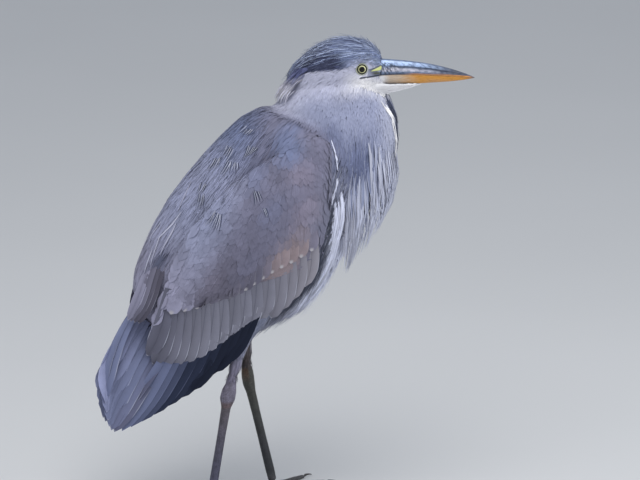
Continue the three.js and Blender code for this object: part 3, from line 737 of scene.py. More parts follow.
class Coat:
    """Gathers feathers of one piece and makes them one mesh."""

    def __init__(self, name):
        self.name = name
        self.places, self.normals, self.tones, self.marks = [], [], [], []
        self.faces, self.vanes, self.bake = [], [], []
        self.count = 0

    def lay(self, pattern, spine, face, half, tone, marks, room, thick=0.3, cup=0.1, patch=0.003):
        """Adds feathers along spines of STATIONS points, each facing along its normals.

        half and thick are in millimetres, and marks are (chance, pale edge, dark heart, pale tip).
        """
        shape, polygons = patterns[pattern]
        number, per = len(spine), len(shape)
        at = np.clip(shape[:, 1], 0, 1) * (STATIONS - 1)
        low = np.minimum(at.astype(int), STATIONS - 2)
        share = (at - low)[None, :, None]
        centre = spine[:, low] * (1 - share) + spine[:, low + 1] * share
        outward = unit(face[:, low] * (1 - share) + face[:, low + 1] * share)
        slope = np.gradient(spine, axis=1)
        heading = unit(slope[:, low] * (1 - share) + slope[:, low + 1] * share)
        across = unit(np.cross(heading, outward))
        outward = np.cross(across, heading)
        half = np.broadcast_to(half, number)[:, None, None] * MM
        aside = shape[None, :, 0, None]
        through = shape[None, :, 2, None]
        sink = cup * aside**2 * half
        places = centre + across * aside * half + outward * (through * thick * MM - sink)
        self.places.append(places.reshape(-1, 3))
        top = unit(outward + across * aside * 3 * cup)
        starts = self.count + per * np.arange(number)
        patch = np.broadcast_to(patch, 2)
        for polygon in polygons:
            self.faces.append((starts[:, None] + np.array(polygon)).astype(np.int32))
            level, reach = shape[polygon, 2].mean(), shape[polygon, 1]
            if np.ptp(reach) < 1e-4:
                self.normals.append(heading[:, polygon] * (1 if reach[0] > 0.5 else -1))
            else:
                self.normals.append(top[:, polygon] * (1 if level > 0 else -1))
            vane_place = np.stack([shape[polygon, 0] / 2 + 0.5, shape[polygon, 1]], -1)
            self.vanes.append(np.tile(vane_place, (number, 1, 1)))
            spread = (vane_place - 0.5) * patch
            self.bake.append(room[:, None, :] + spread[None])
        self.tones.append(np.repeat(tone, per, axis=0))
        self.marks.append(np.repeat(marks, per, axis=0))
        self.count += per * number

    def piece(self, material, slot, *nodes):
        """The finished mesh, riding on the bird and standing for its solids."""
        corners = np.concatenate([block.ravel() for block in self.faces])
        sizes = np.concatenate([np.full(len(block), block.shape[1]) for block in self.faces])
        mesh = bpy.data.meshes.new(self.name)
        mesh.vertices.add(self.count)
        mesh.vertices.foreach_set("co", np.concatenate(self.places).astype(np.float32).ravel())
        mesh.loops.add(len(corners))
        mesh.loops.foreach_set("vertex_index", corners)
        mesh.polygons.add(len(sizes))
        starts = np.concatenate([[0], np.cumsum(sizes)[:-1]]).astype(np.int32)
        mesh.polygons.foreach_set("loop_start", starts)
        mesh.update(calc_edges=True)
        facing = np.concatenate([block.reshape(-1, 3) for block in self.normals])
        mesh.normals_split_custom_set(facing.astype(np.float32))
        for layer, blocks in (("Vane", self.vanes), ("OFBake", self.bake)):
            layout = mesh.uv_layers.new(name=layer)
            places = np.concatenate([block.reshape(-1, 2) for block in blocks])
            layout.data.foreach_set("uv", places.astype(np.float32).ravel())
        mesh.uv_layers["Vane"].active_render = True
        coat = new_object(self.name, mesh)
        paint(coat, "tone", np.concatenate(self.tones))
        paint(coat, "marks", np.concatenate(self.marks))
        coat.data.materials.append(material)
        finish_piece(coat, slot, *nodes)


def finish_piece(obj, slot, *nodes):
    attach(obj, "root")
    if nodes:
        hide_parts(*nodes)


def marks_of(count, edge=0.0, heart=0.0, tip=0.0):
    parts = [dice.random(count), *[np.broadcast_to(part, count) for part in (edge, heart, tip)]]
    return np.stack(parts, -1)


def varied(tone, amount):
    """The same tones, each a little lighter or darker than its neighbours."""
    return tone * np.exp(dice.normal(0, amount, (len(tone), 1)))


def lay_kept(coat, keep, pattern, *rows, **settings):
    """Adds the feathers that are kept, out of rows of spines, faces, half widths and so on."""
    coat.lay(pattern, *[row[keep] for row in rows], **settings)


def lay_cover(
    coat, roots, pattern, length, half, lift, sink, marks=(0, 0, 0), vary=0.05, tint=None,
    cup=0.06, keep=None, **settings
):
    """Adds feathers over the form whose tones come from it; sizes in millimetres."""
    size = np.exp(dice.normal(0, 0.12, len(roots)))
    spine, face, room, middle = walked(roots, length * size, lift, sink, **settings)
    tone = varied(form_tone[middle], vary)
    if tint:
        tone = tint(tone, spine)
    half, marks = np.broadcast_to(half * size, len(roots)), marks_of(len(roots), *marks)
    kept = keep(spine, face) if keep else slice(None)
    lay_kept(coat, kept, pattern, spine, face, half, tone, marks, room, cup=cup)


# ---- materials -------------------------------------------------------------------------------


def new_material(name, **settings):
    material = bpy.data.materials.new(name)
    material.use_nodes = True
    shader = material.node_tree.nodes["Principled BSDF"]
    for socket, value in settings.items():
        shader.inputs[socket.replace("_", " ").title().replace("Ior", "IOR")].default_value = value
    return material, Nodes(material.node_tree), shader


class Nodes:
    """Short calls for making and linking nodes in one tree."""

    def __init__(self, tree):
        self.tree = tree

    def add(self, kind, inputs=None, **settings):
        node = self.tree.nodes.new(kind)
        for key, value in settings.items():
            setattr(node, key, value)
        for key, value in (inputs or {}).items():
            self.feed(value, node.inputs[key])
        return node

    def feed(self, value, socket):
        if isinstance(value, bpy.types.NodeSocket):
            self.tree.links.new(value, socket)
        else:
            socket.default_value = value

    def math(self, operation, *values):
        node = self.add("ShaderNodeMath", operation=operation)
        for value, socket in zip(values, node.inputs):
            self.feed(value, socket)
        return node.outputs[0]

    def blend(self, share, first, second, kind="MIX"):
        node = self.add("ShaderNodeMix", data_type="RGBA", blend_type=kind)
        colour_inputs = [socket for socket in node.inputs if socket.type == "RGBA"]
        self.feed(share, node.inputs[0])
        self.feed(first, colour_inputs[0])
        self.feed(second, colour_inputs[1])
        return [socket for socket in node.outputs if socket.type == "RGBA"][0]

    def ranged(self, value, low, high, start=0.0, end=1.0):
        inputs = {"Value": value, "From Min": low, "From Max": high, "To Min": start, "To Max": end}
        node = self.add("ShaderNodeMapRange", inputs, interpolation_type="SMOOTHSTEP")
        return node.outputs["Result"]

    def noise(self, place, scale, detail=3.0):
        inputs = {"Vector": place, "Scale": scale, "Detail": detail}
        return self.add("ShaderNodeTexNoise", inputs).outputs["Fac"]

    def attribute(self, name):
        return self.add("ShaderNodeAttribute", attribute_name=name).outputs["Color"]

    def object_place(self):
        return self.add("ShaderNodeTexCoord").outputs["Object"]

    def grey(self, value):
        inputs = {"Red": value, "Green": value, "Blue": value}
        return self.add("ShaderNodeCombineColor", inputs).outputs[0]

    def bump(self, height, strength, distance):
        inputs = {"Height": height, "Strength": strength, "Distance": distance * MM}
        return self.add("ShaderNodeBump", inputs).outputs["Normal"]

    def paint_tone(self, shader, shade):
        """Gives a shader the piece's painted tone, times a grey."""
        colour = self.blend(1.0, self.attribute("tone"), self.grey(shade), "MULTIPLY")
        self.feed(colour, shader.inputs["Base Color"])


def rgb(tone):
    return (*[float(part) for part in tone], 1.0)


def barb_group():
    """Colour and height of a vane: barbs slanting from the shaft, pale edges and a dark heart."""
    tree = bpy.data.node_groups.new("vane marks", "ShaderNodeTree")
    wanted = [
        ("Barbs", "NodeSocketFloat", 60.0),
        ("Contrast", "NodeSocketFloat", 0.15),
        ("Edge Colour", "NodeSocketColor", (0.6, 0.6, 0.7, 1)),
        ("Edge Start", "NodeSocketFloat", 0.7),
        ("Mottle", "NodeSocketFloat", 0.15),
    ]
    for name, kind, value in wanted:
        socket = tree.interface.new_socket(name, in_out="INPUT", socket_type=kind)
        socket.default_value = value
    tree.interface.new_socket("Colour", in_out="OUTPUT", socket_type="NodeSocketColor")
    tree.interface.new_socket("Height", in_out="OUTPUT", socket_type="NodeSocketFloat")
    n = Nodes(tree)
    given = n.add("NodeGroupInput").outputs
    tone = n.attribute("tone")
    marks = n.add("ShaderNodeAttribute", attribute_name="marks").outputs
    chance, edge, heart = n.add("ShaderNodeSeparateColor", {"Color": marks["Color"]}).outputs
    place = n.add("ShaderNodeUVMap", uv_map="Vane").outputs["UV"]
    u, v, _ = n.add("ShaderNodeSeparateXYZ", {"Vector": place}).outputs
    aside = n.math("ABSOLUTE", n.math("MULTIPLY_ADD", u, 2.0, -1.0))
    slant = n.math("SUBTRACT", v, n.math("MULTIPLY", aside, 0.16))
    wobble = n.noise(n.object_place(), 260.0)
    phase = n.math("MULTIPLY_ADD", slant, given["Barbs"], n.math("MULTIPLY", wobble, 2.5))
    phase = n.math("ADD", n.math("MULTIPLY", phase, 6.283), n.math("MULTIPLY", chance, 9.0))
    wave = n.math("SINE", phase)
    half_contrast = n.math("MULTIPLY", given["Contrast"], 0.5)
    light = n.math("MULTIPLY_ADD", wave, half_contrast, 1.0)
    mottle = n.math("SUBTRACT", n.noise(n.object_place(), 55.0, 4.0), 0.5)
    shade = n.math("MULTIPLY_ADD", mottle, n.math("MULTIPLY", given["Mottle"], 3.0), light)
    dark = n.math("MULTIPLY", heart, n.ranged(aside, 0.0, 0.8, 0.45, 0.0))
    shade = n.math("MULTIPLY", shade, n.math("SUBTRACT", 1.0, dark))
    colour = n.blend(1.0, tone, n.grey(shade), "MULTIPLY")
    rim = n.ranged(aside, given["Edge Start"], n.math("ADD", given["Edge Start"], 0.07))
    rim = n.math("MULTIPLY", n.math("MAXIMUM", rim, n.ranged(v, 0.978, 0.992)), edge)
    rim = n.math("MULTIPLY", rim, n.ranged(v, 0.15, 0.4))
    tip = n.math("MULTIPLY", marks["Alpha"], n.ranged(v, 0.86, 0.95))
    tip = n.math("MULTIPLY", tip, n.ranged(aside, 0.1, 0.4, 1.0, 0.0))
    colour = n.blend(n.math("MAXIMUM", rim, tip), colour, given["Edge Colour"])
    shaft = n.ranged(aside, 0.02, 0.09, 1.0, 0.0)
    height = n.math("MULTIPLY_ADD", wave, 0.25, n.math("MULTIPLY", shaft, 0.8))
    n.add("NodeGroupOutput", {"Colour": colour, "Height": height})
    return tree


vane_marks = barb_group()


def plumage(name, barbs, contrast, edge, edge_start, mottle, bump=0.2, roughness=0.75, gloss=0.2):
    material, n, shader = new_material(
        name, roughness=roughness, specular_ior_level=gloss, sheen_weight=gloss / 2,
        sheen_roughness=0.5,
    )
    group = n.add("ShaderNodeGroup")
    group.node_tree = vane_marks
    settings = {
        "Barbs": barbs,
        "Contrast": contrast,
        "Edge Colour": rgb(TONES[edge]),
        "Edge Start": edge_start,
        "Mottle": mottle,
    }
    for key, value in settings.items():
        group.inputs[key].default_value = value
    n.feed(group.outputs["Colour"], shader.inputs["Base Color"])
    n.feed(n.bump(group.outputs["Height"], bump, 0.3), shader.inputs["Normal"])
    return material


soft_plumage = plumage("soft head and neck plumage", 8, 0.06, "white", 0.6, 0.05)
crown_plumage = plumage("crown plumage", 10, 0.12, "crown_pale", 0.5, 0.1)
breast_plumage = plumage("breast plumage", 24, 0.15, "white", 0.45, 0.08)
back_plumage = plumage("back plumage", 24, 0.14, "tertial", 0.6, 0.08)
covert_plumage = plumage("covert plumage", 30, 0.08, "covert_edge", 0.8, 0.16)
flight_plumage = plumage("flight plumage", 90, 0.10, "white", 0.88, 0.06, 0.2, 0.65)
primary_plumage = plumage("primary plumage", 90, 0.10, "tail", 0.87, 0.06, 0.2, 0.6, 0.08)
tail_plumage = plumage("tail plumage", 90, 0.10, "white", 0.86, 0.06, 0.2, 0.6)

# ---- skin ------------------------------------------------------------------------------------

EYE_OUT = 10.6
EYE_RADIUS = 8.0
PUPIL_RADIUS = 3.9
IRIS_RADIUS = 5.2
FACE_SIDE = 5  # how far off the head's middle plane the face may be bare
LID_REACH = 6.9  # from the eye's middle out to the end of the dark lid
RING_REACH = 8.5  # and to the end of the yellow-green ring round it
GAPE_LINE = [[-4, -13.2], [28, -10.6], [63, -10.4], [97, -12.6], [130, -15.4], [152, -17.8]]
gape = curve_through(GAPE_LINE)
socket_side = curve_through(
    [
        [0, 11.5], [4.8, 13.0], [5.6, 15.2], [6.05, 16.4], [6.7, 16.95], [7.5, 16.9],
        [8.6, 16.7], [18, 17.6],
    ]
)


def eye_distance(x, z):
    return np.hypot(x, z - EYE_LIFT / MM)


def bare_share(x, z):
    """How bare the face is: 1 on the lids, the lores and along the gape."""
    ring = 1 - ramp(eye_distance(x, z), RING_REACH - 0.6, RING_REACH + 0.2)
    upper = np.interp(x, [7, 13, 22, 30, 36], [-0.5, 0.4, 3.2, 5.5, 6])
    lores = ramp(upper - z, -0.5, 0.4) * ramp(z - gape(x), -0.5, 0.4) * ramp(x, 6, 9)
    slit = (1 - ramp(np.abs(z - gape(x) - 1.2), 0.8, 1.6)) * ramp(x, -5, -2)
    return np.maximum(np.maximum(ring, lores), slit)


def bareness(points):
    """How bare the face is at points anywhere on the bird."""
    x, y, z = head_chart(points)
    return bare_share(x, z) * (np.abs(y) > FACE_SIDE) * (x > -14) * (np.abs(z) < 20)


def bare_colour(x, z):
    """Slate lores with a yellow-green streak and painted shadow under it, black lids in a thin
    yellow-green ring.
    """
    middle = np.interp(x, [12, 24, 30], [-3.0, -0.5, 0.6])
    thick = np.interp(x, [12, 16, 21, 26, 28.5, 30.5], [0.3, 0.9, 1.9, 2.7, 2.3, 0.2])
    streak = (1 - ramp(np.abs(z - middle), thick - 0.4, thick + 0.4)) * ramp(x, 11, 14)
    distance = eye_distance(x, z)
    turn = np.arctan2(z - EYE_LIFT / MM, x)
    strong = 0.55 + 0.45 * np.cos(turn - math.radians(160))
    ring = ramp(distance, LID_REACH - 0.3, LID_REACH + 0.2) * (1 - ramp(distance, 8.0, 8.6))
    slit = 1 - ramp(np.abs(z - gape(x) - 0.9), 0.7, 1.4)
    return layered(
        flat("lores", len(x)),
        ("lores_rear", 1 - ramp(x + 0.8 * z, 3, 12)),
        ("lores_pale", 0.8 * spot(x, z, (28, -4.2), (9, 2.6))),
        ("lores_yellow", streak),
        # A dark olive patch under the yellow streak: painted shadow.
        ("lores_shadow", 0.7 * spot(x, z, (20, -6.4), (7, 1.8))),
        ("eye_ring", ring * (0.45 + 0.55 * strong)),
        ("lid", 1 - ramp(distance, 6.7, 7.1)),
        ("gape", slit * ramp(x, -5, -2)),
    )


SKIN_DETAIL = 0.75  # the share of the form's faces that the skin keeps


def make_skin():
    skin = new_object("skin", form.data.copy())
    x, y, z = head_chart(form_points)
    on_face = (form_regions == "head") & (np.abs(y) > FACE_SIDE)
    depth = np.array([FLESH[region][1] for region in form_regions])
    depth = depth - 1.3 * on_face * bare_share(x, z)
    depth = eased(depth[:, None], 2)
    move_points(skin, form_points - form_normals * depth * MM)
    apply_modifier(skin, "SMOOTH", factor=0.5, iterations=2)
    apply_modifier(skin, "DECIMATE", ratio=SKIN_DETAIL)
    select_only(skin)
    in_edit_mode((bpy.ops.mesh.select_all, {"action": "DESELECT"}))
    for face in skin.data.polygons:
        x, y, z = head_chart(np.array(face.center)[None])[:, 0]
        face.select = -14 < x < 36 and -17 < z < 16 and abs(y) > FACE_SIDE
    bpy.ops.object.mode_set(mode="EDIT")
    bpy.ops.mesh.subdivide(number_cuts=3)
    bpy.ops.object.mode_set(mode="OBJECT")
    points = points_of(skin)
    x, y, z = head_chart(points)
    bare = bareness(points)
    aside = np.abs(y)
    reach = np.hypot(np.where(x < 0, x / 1.7, x), z - EYE_LIFT / MM)
    share = (1 - ramp(reach, 8.6, 15)) * (aside > 6)
    aside = aside + (socket_side(eye_distance(x, z)) - aside) * share
    near = share > 0
    points[near] = from_head(x, np.sign(y) * aside, z)[near]
    move_points(skin, points)
    tones = np.empty_like(points)
    for i, point in enumerate(points):
        tones[i] = form_tone[form_face_point[form_tree.find_nearest(Vector(point))[2]]]
    paint(skin, "tone", blended(tones, bare_colour(x, z), bare))
    material, n, shader = new_material("bird skin", roughness=0.7, specular_ior_level=0.3)
    grain = n.noise(n.object_place(), 900.0, 3.0)
    shade = n.ranged(grain, 0.2, 0.8, 0.85, 1.12)
    n.paint_tone(shader, shade)
    n.feed(n.bump(grain, 0.4, 0.4), shader.inputs["Normal"])
    skin.data.materials.append(material)
    smooth(skin)
    skin.data.uv_layers.remove(skin.data.uv_layers[0])
    return skin


skin = make_skin()

# ---- eyes ------------------------------------------------------------------------------------


def eye_material():
    material, n, shader = new_material(
        "eye", roughness=0.2, specular_ior_level=0.2, coat_weight=0.35, coat_roughness=0.02
    )
    ring = n.add("ShaderNodeSeparateColor", {"Color": n.attribute("ring")}).outputs[0]
    ring = n.math("MULTIPLY", ring, 10.0)
    grain = n.noise(n.object_place(), 1400.0, 3.0)
    yellow = n.blend(grain, (0.56, 0.55, 0.24, 1), (0.86, 0.87, 0.54, 1))
    darker = n.ranged(ring, IRIS_RADIUS - 0.9, IRIS_RADIUS, 0.0, 0.5)
    yellow = n.blend(darker, yellow, (0.22, 0.22, 0.08, 1))
    outer = n.ranged(ring, IRIS_RADIUS - 0.15, IRIS_RADIUS + 0.15)
    colour = n.blend(outer, yellow, (0.010, 0.011, 0.016, 1))
    inner = n.ranged(ring, PUPIL_RADIUS - 0.15, PUPIL_RADIUS + 0.15)
    n.feed(n.blend(inner, (0.003, 0.003, 0.004, 1), colour), shader.inputs["Base Color"])
    return material


eye_look = eye_material()
for side, sign in SIDES.items():
    centre = Vector(from_head(0.0, sign * EYE_OUT, EYE_LIFT / MM))
    eye = basic_shape(
        bpy.ops.mesh.primitive_uv_sphere_add, f"eyeball_{side}", segments=40, ring_count=30,
        radius=EYE_RADIUS * MM, location=centre, rotation=(math.radians(90), 0, HEAD_TURN),
    )
    bpy.ops.object.transform_apply(location=True, rotation=True, scale=True)
    x, y, z = head_chart(points_of(eye))
    paint(eye, "ring", np.stack([eye_distance(x, z) / 10] * 3, -1))
    eye.data.materials.append(eye_look)
    bpy.ops.object.shade_smooth()
    finish_piece(eye, "eye", f"eye_{side}")

# ---- bill ------------------------------------------------------------------------------------

CULMEN = [[8, 12], [31, 10], [66, 6.4], [97, 1.2], [124, -6.2], [145, -14], [152, -17.2]]
GONYS = [[-4, -19], [31, -22.5], [63, -24.2], [97, -23.4], [124, -21.8], [145, -19.2], [152, -18]]
BILL_START, BILL_TIP = 12, 152
bill_width = curve_through(
    [[8, 9.4], [31, 8.8], [63, 7.2], [97, 5.2], [124, 3.4], [145, 1.5], [152, 0.6]]
)


def closed_tube(name, steps, around, place):
    """A grid bent into a tube: place(t, angle) gives its points, and both ends are drawn shut."""
    cuts = {"x_subdivisions": steps, "y_subdivisions": around}
    tube = basic_shape(bpy.ops.mesh.primitive_grid_add, name, size=1, **cuts)
    grid = points_of(tube)
    t, angle = grid[:, 0] + 0.5, (grid[:, 1] + 0.5) * 2 * math.pi
    places = place(t, angle)
    for end in (t < 1e-4, t > 1 - 1e-4):
        places[end] = places[end].mean(0)
    move_points(tube, places)
    in_edit_mode(
        (bpy.ops.mesh.remove_doubles, {"threshold": 0.02 * MM}),
        (bpy.ops.mesh.normals_make_consistent, {"inside": False}),
    )
    bpy.ops.object.shade_smooth()
    return tube


def mandible(name, outer, side):
    """Half of the bill between its outer edge and the gape, with a groove along the upper half."""
    edge = curve_through(outer)

    def place(t, angle):
        x = BILL_START + (BILL_TIP - BILL_START) * t
        inner = gape(x) + side * 0.15
        height = np.maximum(0.4, np.abs(edge(x) - inner))
        rise = np.sin(angle) * side
        up = np.sign(rise) * np.abs(rise) ** 0.85
        z = inner + side * np.where(up > 0, height * up, 0.35 * up)
        wide = bill_width(x) * (1 - 0.16 * np.clip(up, 0, 1)) * (1 - 0.06 * np.clip(-up, 0, 1))
        if side > 0:
            share = (z - inner) / height
            groove = np.exp(-(((share - 0.56) / 0.1) ** 2)) * (1 - ramp(x, 70, 104))
            nostril = spot(x, share, (42, 0.56), (9, 0.16))
            wide = wide - 0.75 * groove - 1.5 * nostril
        lip = np.exp(-(((z - inner) / 1.2) ** 2))
        wide = wide + 0.15 * lip
        return from_head(x, np.cos(angle) * wide, z)

    return closed_tube(name, 110, 56, place)


def horn_material(name, dark, light):
    """Horn whose growth streaks run along the bill."""
    material, n, shader = new_material(
        name, roughness=0.3, specular_ior_level=0.5, coat_weight=0.25, coat_roughness=0.2
    )
    turned = n.add("ShaderNodeMapping", {"Vector": n.object_place()})
    turned.inputs["Rotation"].default_value = (0, 0, -HEAD_TURN)
    turned.inputs["Scale"].default_value = (0.12, 1, 1)
    streak = n.noise(turned.outputs["Vector"], 900.0, 4.0)
    shade = n.ranged(streak, 0.25, 0.75, dark, light)
    n.paint_tone(shader, shade)
    n.feed(n.ranged(streak, 0.3, 0.7, 0.22, 0.42), shader.inputs["Roughness"])
    n.feed(n.bump(streak, 0.25, 0.2), shader.inputs["Normal"])
    return material


def patchy(points, scale):
    """A soft uneven pattern from 0 to 1, stretched along the head."""
    x, y, z = head_chart(points)
    waves = 0
    for _ in range(6):
        a, b, c, start = dice.normal(0, 1, 4)
        waves = waves + np.sin((0.35 * a * x + 1.5 * b * z + 0.8 * c * y) * scale + 3 * start)
    return ramp(waves, -0.6, 1.6)


def make_bill():
    upper = mandible("upper_mandible", CULMEN, 1)
    points = points_of(upper)
    x, y, z = head_chart(points)
    above = z - gape(x)
    share = np.clip(above / (curve_through(CULMEN)(x) - gape(x) + 1e-6), 0, 1)
    # A blue band under the ridge and a pale band lower down, fading towards the tip: painted
    # reflection and highlight.
    fade = 1 - ramp(x, 56, 128)
    upper_reflection_band = ramp(share, 0.60, 0.68) * (1 - ramp(share, 0.90, 0.95))
    lower_highlight_band = ramp(share, 0.16, 0.26) * (1 - ramp(share, 0.44, 0.52))
    streaks = ramp(patchy(points, 2.2), 0.45, 0.75)
    specks = ramp(patchy(points, 3.4), 0.35, 0.6) * (1 - ramp(x, 36, 56))
    groove = np.exp(-(((share - 0.56 - 0.03 * np.sin(0.22 * x)) / 0.07) ** 2))
    groove *= (1 - ramp(x, 110, 140)) * ramp(x, 34, 44)
    lip = (1 - ramp(above, 1.0, 2.6)) * ramp(x, 52, 74) * (1 - ramp(x, 140, 152))
    dark_lip = (1 - ramp(above, 1.6, 3.4)) * (1 - ramp(x, 50, 70))
    tone = layered(
        flat("slate_horn", len(x)),
        ("slate_horn_tip", ramp(x, 70, 130)),
        # painted reflection and highlight
        ("horn_sky_reflection", 0.85 * fade * upper_reflection_band),
        ("horn_pale_highlight", 0.85 * fade * lower_highlight_band),
        ("horn_streak", 0.45 * streaks * ramp(x, 30, 60)),
        ("horn_speck", 0.85 * specks * (1 - ramp(share, 0.7, 0.9))),
        ("horn_groove", 0.9 * groove),
        ("horn_lip", 0.9 * lip),
        ("gape", 0.85 * dark_lip),
    )
    paint(upper, "tone", tone)
    upper.data.materials.append(horn_material("slate horn", dark=0.75, light=1.25))
    finish_piece(upper, "horn_upper_bill", "bill_upper")

    lower = mandible("lower_mandible", GONYS, -1)
    points = points_of(lower)
    x, y, z = head_chart(points)
    below = gape(x) - z
    tone = layered(
        flat("flesh_horn", len(x)),
        (TONES["throat"] * 0.9, 1 - ramp(x, 26, 40)),
        ("orange_horn", ramp(x + 6 * patchy(points, 0.8), 44, 84)),
        ("brown_horn", ramp(x, 134, 152)),
        ("dull_horn", 0.35 * ramp(below, 3, 8) * ramp(x, 76, 100)),
        ("horn_seam", 0.6 * (1 - ramp(below, 0.3, 1.1))),
    )
    paint(lower, "tone", tone)
    lower.data.materials.append(horn_material("orange horn", dark=0.86, light=1.1))
    finish_piece(lower, "horn_lower_bill", "bill_lower")


make_bill()

# ---- feathers of the head and neck -----------------------------------------------------------


def clear_of_face(spine):
    """Which spines stay off the eye and the bare face."""
    bare = bareness(spine.reshape(-1, 3)).reshape(spine.shape[:2])
    return bare[:, 2:].max(1) < 0.5


def part_round_eyes():
    """Turns the lie of the coat aside where it would run over an eye."""
    x, y, z = head_chart(form_points)
    distance = eye_distance(x, z)
    outward = unit(np.stack([x, 0 * x, z - EYE_LIFT / MM], -1)) @ HEAD_AXES.T
    inward = np.clip(-np.sum(form_flow * outward, 1), 0, 1)
    near = (1 - ramp(distance, 8, 17)) * (np.abs(y) > 6)
    return unit(form_flow + outward * (1.15 * inward * near)[:, None])


form_flow = part_round_eyes()
head_x, head_y, head_z = head_chart(middles)
face_bare = bareness(middles)
is_head = middle_regions == "head"

CHIN = [
    [0, 16, 31, 51, 68, 82],
    [-19.0, -21.5, -23.4, -23.4, -23.6, -23.8],
    [-30, -34.5, -36, -33.4, -28.4, -24.2],
    [12.5, 11.2, 9.2, 7.0, 4.6, 1.2],
]  # by distance forward: upper edge, lower edge and half width of the white chin


def lay_face():
    coat = Coat("face_feathers")
    fine = 1.55 + 0.5 * ramp(-head_x, 0, 50)
    roots = scattered(is_head & (face_bare < 0.3), fine)
    x, y, z = head_chart(roots)
    length = 5.0 + 3.0 * ramp(-x, -10, 30) - 1.8 * ramp(x, 8, 26)
    spine, face, room, middle = walked(roots, length, 0.25, 0.8, spread=0.1)
    keep = clear_of_face(spine)
    x, y, z = head_chart(spine[:, 5])
    tone = varied(head_colour(spine[:, 5]), 0.05)
    mottle = ramp(z - crown_line(x), -3, 2) * (1 - ramp(z - crown_line(x), 14, 26))
    tone = tone * np.exp(dice.normal(0, 0.22, len(tone)) * mottle)[:, None]
    half = 0.85 + 0.25 * ramp(-x, 0, 40)
    marks = marks_of(len(roots), 0.1, 0.1)
    lay_kept(coat, keep, "short", spine, face, half, tone, marks, room, thick=0.16, cup=0.05)
    # The white chin feathers that close over the foot of the lower bill.
    count = 520
    x = dice.uniform(6, 70, count)[:, None] + np.linspace(0, 12, STATIONS)
    low = dice.uniform(0, 1, (count, 1))
    sign = dice.choice([-1.0, 1.0], (count, 1))
    top, bottom, wide = [np.interp(x, CHIN[0], row) for row in CHIN[1:]]
    z = top + (bottom - top) * low
    y = sign * wide * np.sqrt(1 - (0.85 * low) ** 2)
    spine = from_head(x, y, z)
    face = unit(np.stack([0 * x, sign + 0 * x, -1.2 * low + 0 * x], -1)) @ HEAD_AXES.T
    place, _, near = on_form(spine.reshape(-1, 3))
    place = place.reshape(spine.shape) + form_face[near].reshape(spine.shape) * 0.6 * MM
    gap = np.linalg.norm(place - spine, axis=-1, keepdims=True) / MM
    spine = spine + (place - spine) * (1 - ramp(gap, 1.5, 4.0))
    tone = varied(flat("throat", count), 0.025)
    room = room_at(spine[:, 0])
    coat.lay("short", spine, face, 1.3, tone, marks_of(count), room, thick=0.14, cup=0.04)
    coat.piece(soft_plumage, "plumage_head")


def lay_crown():
    coat = Coat("crown_feathers")
    line = crown_line(head_x)
    roots = scattered(is_head & (head_z > line + 5) & (face_bare < 0.1), 2.1)
    x, y, z = head_chart(roots)
    length = np.clip(15 + 0.25 * z, 12, 26) - 6 * ramp(x, 4, 24)
    spine, face, room, middle = walked(roots, length, 0.7, 1.0, spread=0.14)
    keep = clear_of_face(spine)
    tone = varied(head_colour(spine[:, 5]), 0.16)
    half = np.full(len(roots), 1.1)
    marks = marks_of(len(roots), 0.3, 0.3)
    lay_kept(coat, keep, "lance", spine, face, half, tone, marks, room, thick=0.2)
    # Long fine strands that sweep from the forehead over the crown to the nape.
    roots = scattered(is_head & (head_z > line + 13 - 0.1 * head_x) & (head_x > -70), 2.7)
    x, y, z = head_chart(roots)
    length = dice.uniform(30, 66, len(roots)) - 10 * ramp(x, 0, 24)
    lift = dice.uniform(0.8, 3.2, len(roots))
    spine, face, room, middle = walked(roots, length, lift, 0.4, spread=0.2, stiff=0.85)
    keep = clear_of_face(spine)
    chance = dice.random(len(roots))
    pale = chance < 0.24
    tone = np.where(pale[:, None], TONES["crown_pale"] * 1.5, TONES["crown"] * 0.9)
    dark = chance > 0.92 - 0.5 * ramp(-x, 10, 45)
    tone = np.where(dark[:, None], TONES["nape"] * 1.2, tone)
    half = np.where(pale, 0.6, 0.85)
    tone, marks = varied(tone, 0.22), marks_of(len(roots))
    lay_kept(coat, keep, "hair", spine, face, half, tone, marks, room, thick=0.4)
    # Free wisps on the outline of the crown, the forehead and the nape.
    roots = scattered(is_head & (head_z > 20 + 0.25 * head_x) & (np.abs(head_y) < 20), 4.0)
    length = dice.uniform(14, 34, len(roots))
    lift = dice.uniform(2.0, 8.0, len(roots))
    spine, face, room, middle = walked(roots, length, lift, 0.5, spread=0.35, stiff=0.92)
    tone = varied(blended(head_colour(spine[:, 4]), TONES["crown_pale"], 0.5), 0.25)
    coat.lay("hair", spine, face, 0.55, tone, marks_of(len(roots)), room)
    # The raised feathers of the forehead.
    roots = scattered(is_head & (head_x > 6) & (head_z > 12), 2.4)
    length = dice.uniform(8, 15, len(roots))
    lift = dice.uniform(2, 5.5, len(roots))
    spine, face, room, middle = walked(roots, length, lift, 0.4, 0.3, 0.9)
    chance = dice.random(len(roots))[:, None]
    tone = np.where(chance < 0.4, TONES["crown_pale"], TONES["crown"] * 0.9)
    coat.lay("hair", spine, face, 0.6, varied(tone, 0.25), marks_of(len(roots)), room, thick=0.4)
    coat.piece(crown_plumage, "plumage_head")


def hanging(starts, ends, bulge):
    """Spines from starts to ends that bow outwards by a bulge; all in metres."""
    t = np.linspace(0, 1, STATIONS)[None, :, None]
    line = starts[:, None] * (1 - t) + ends[:, None] * t
    return line + bulge[:, None] * (4 * t * (1 - t))


NAPE_EDGE = [[12, 591], [3, 579], [-4, 571], [-10, 565], [-14, 557], [-17, 549]]  # x and z, mm


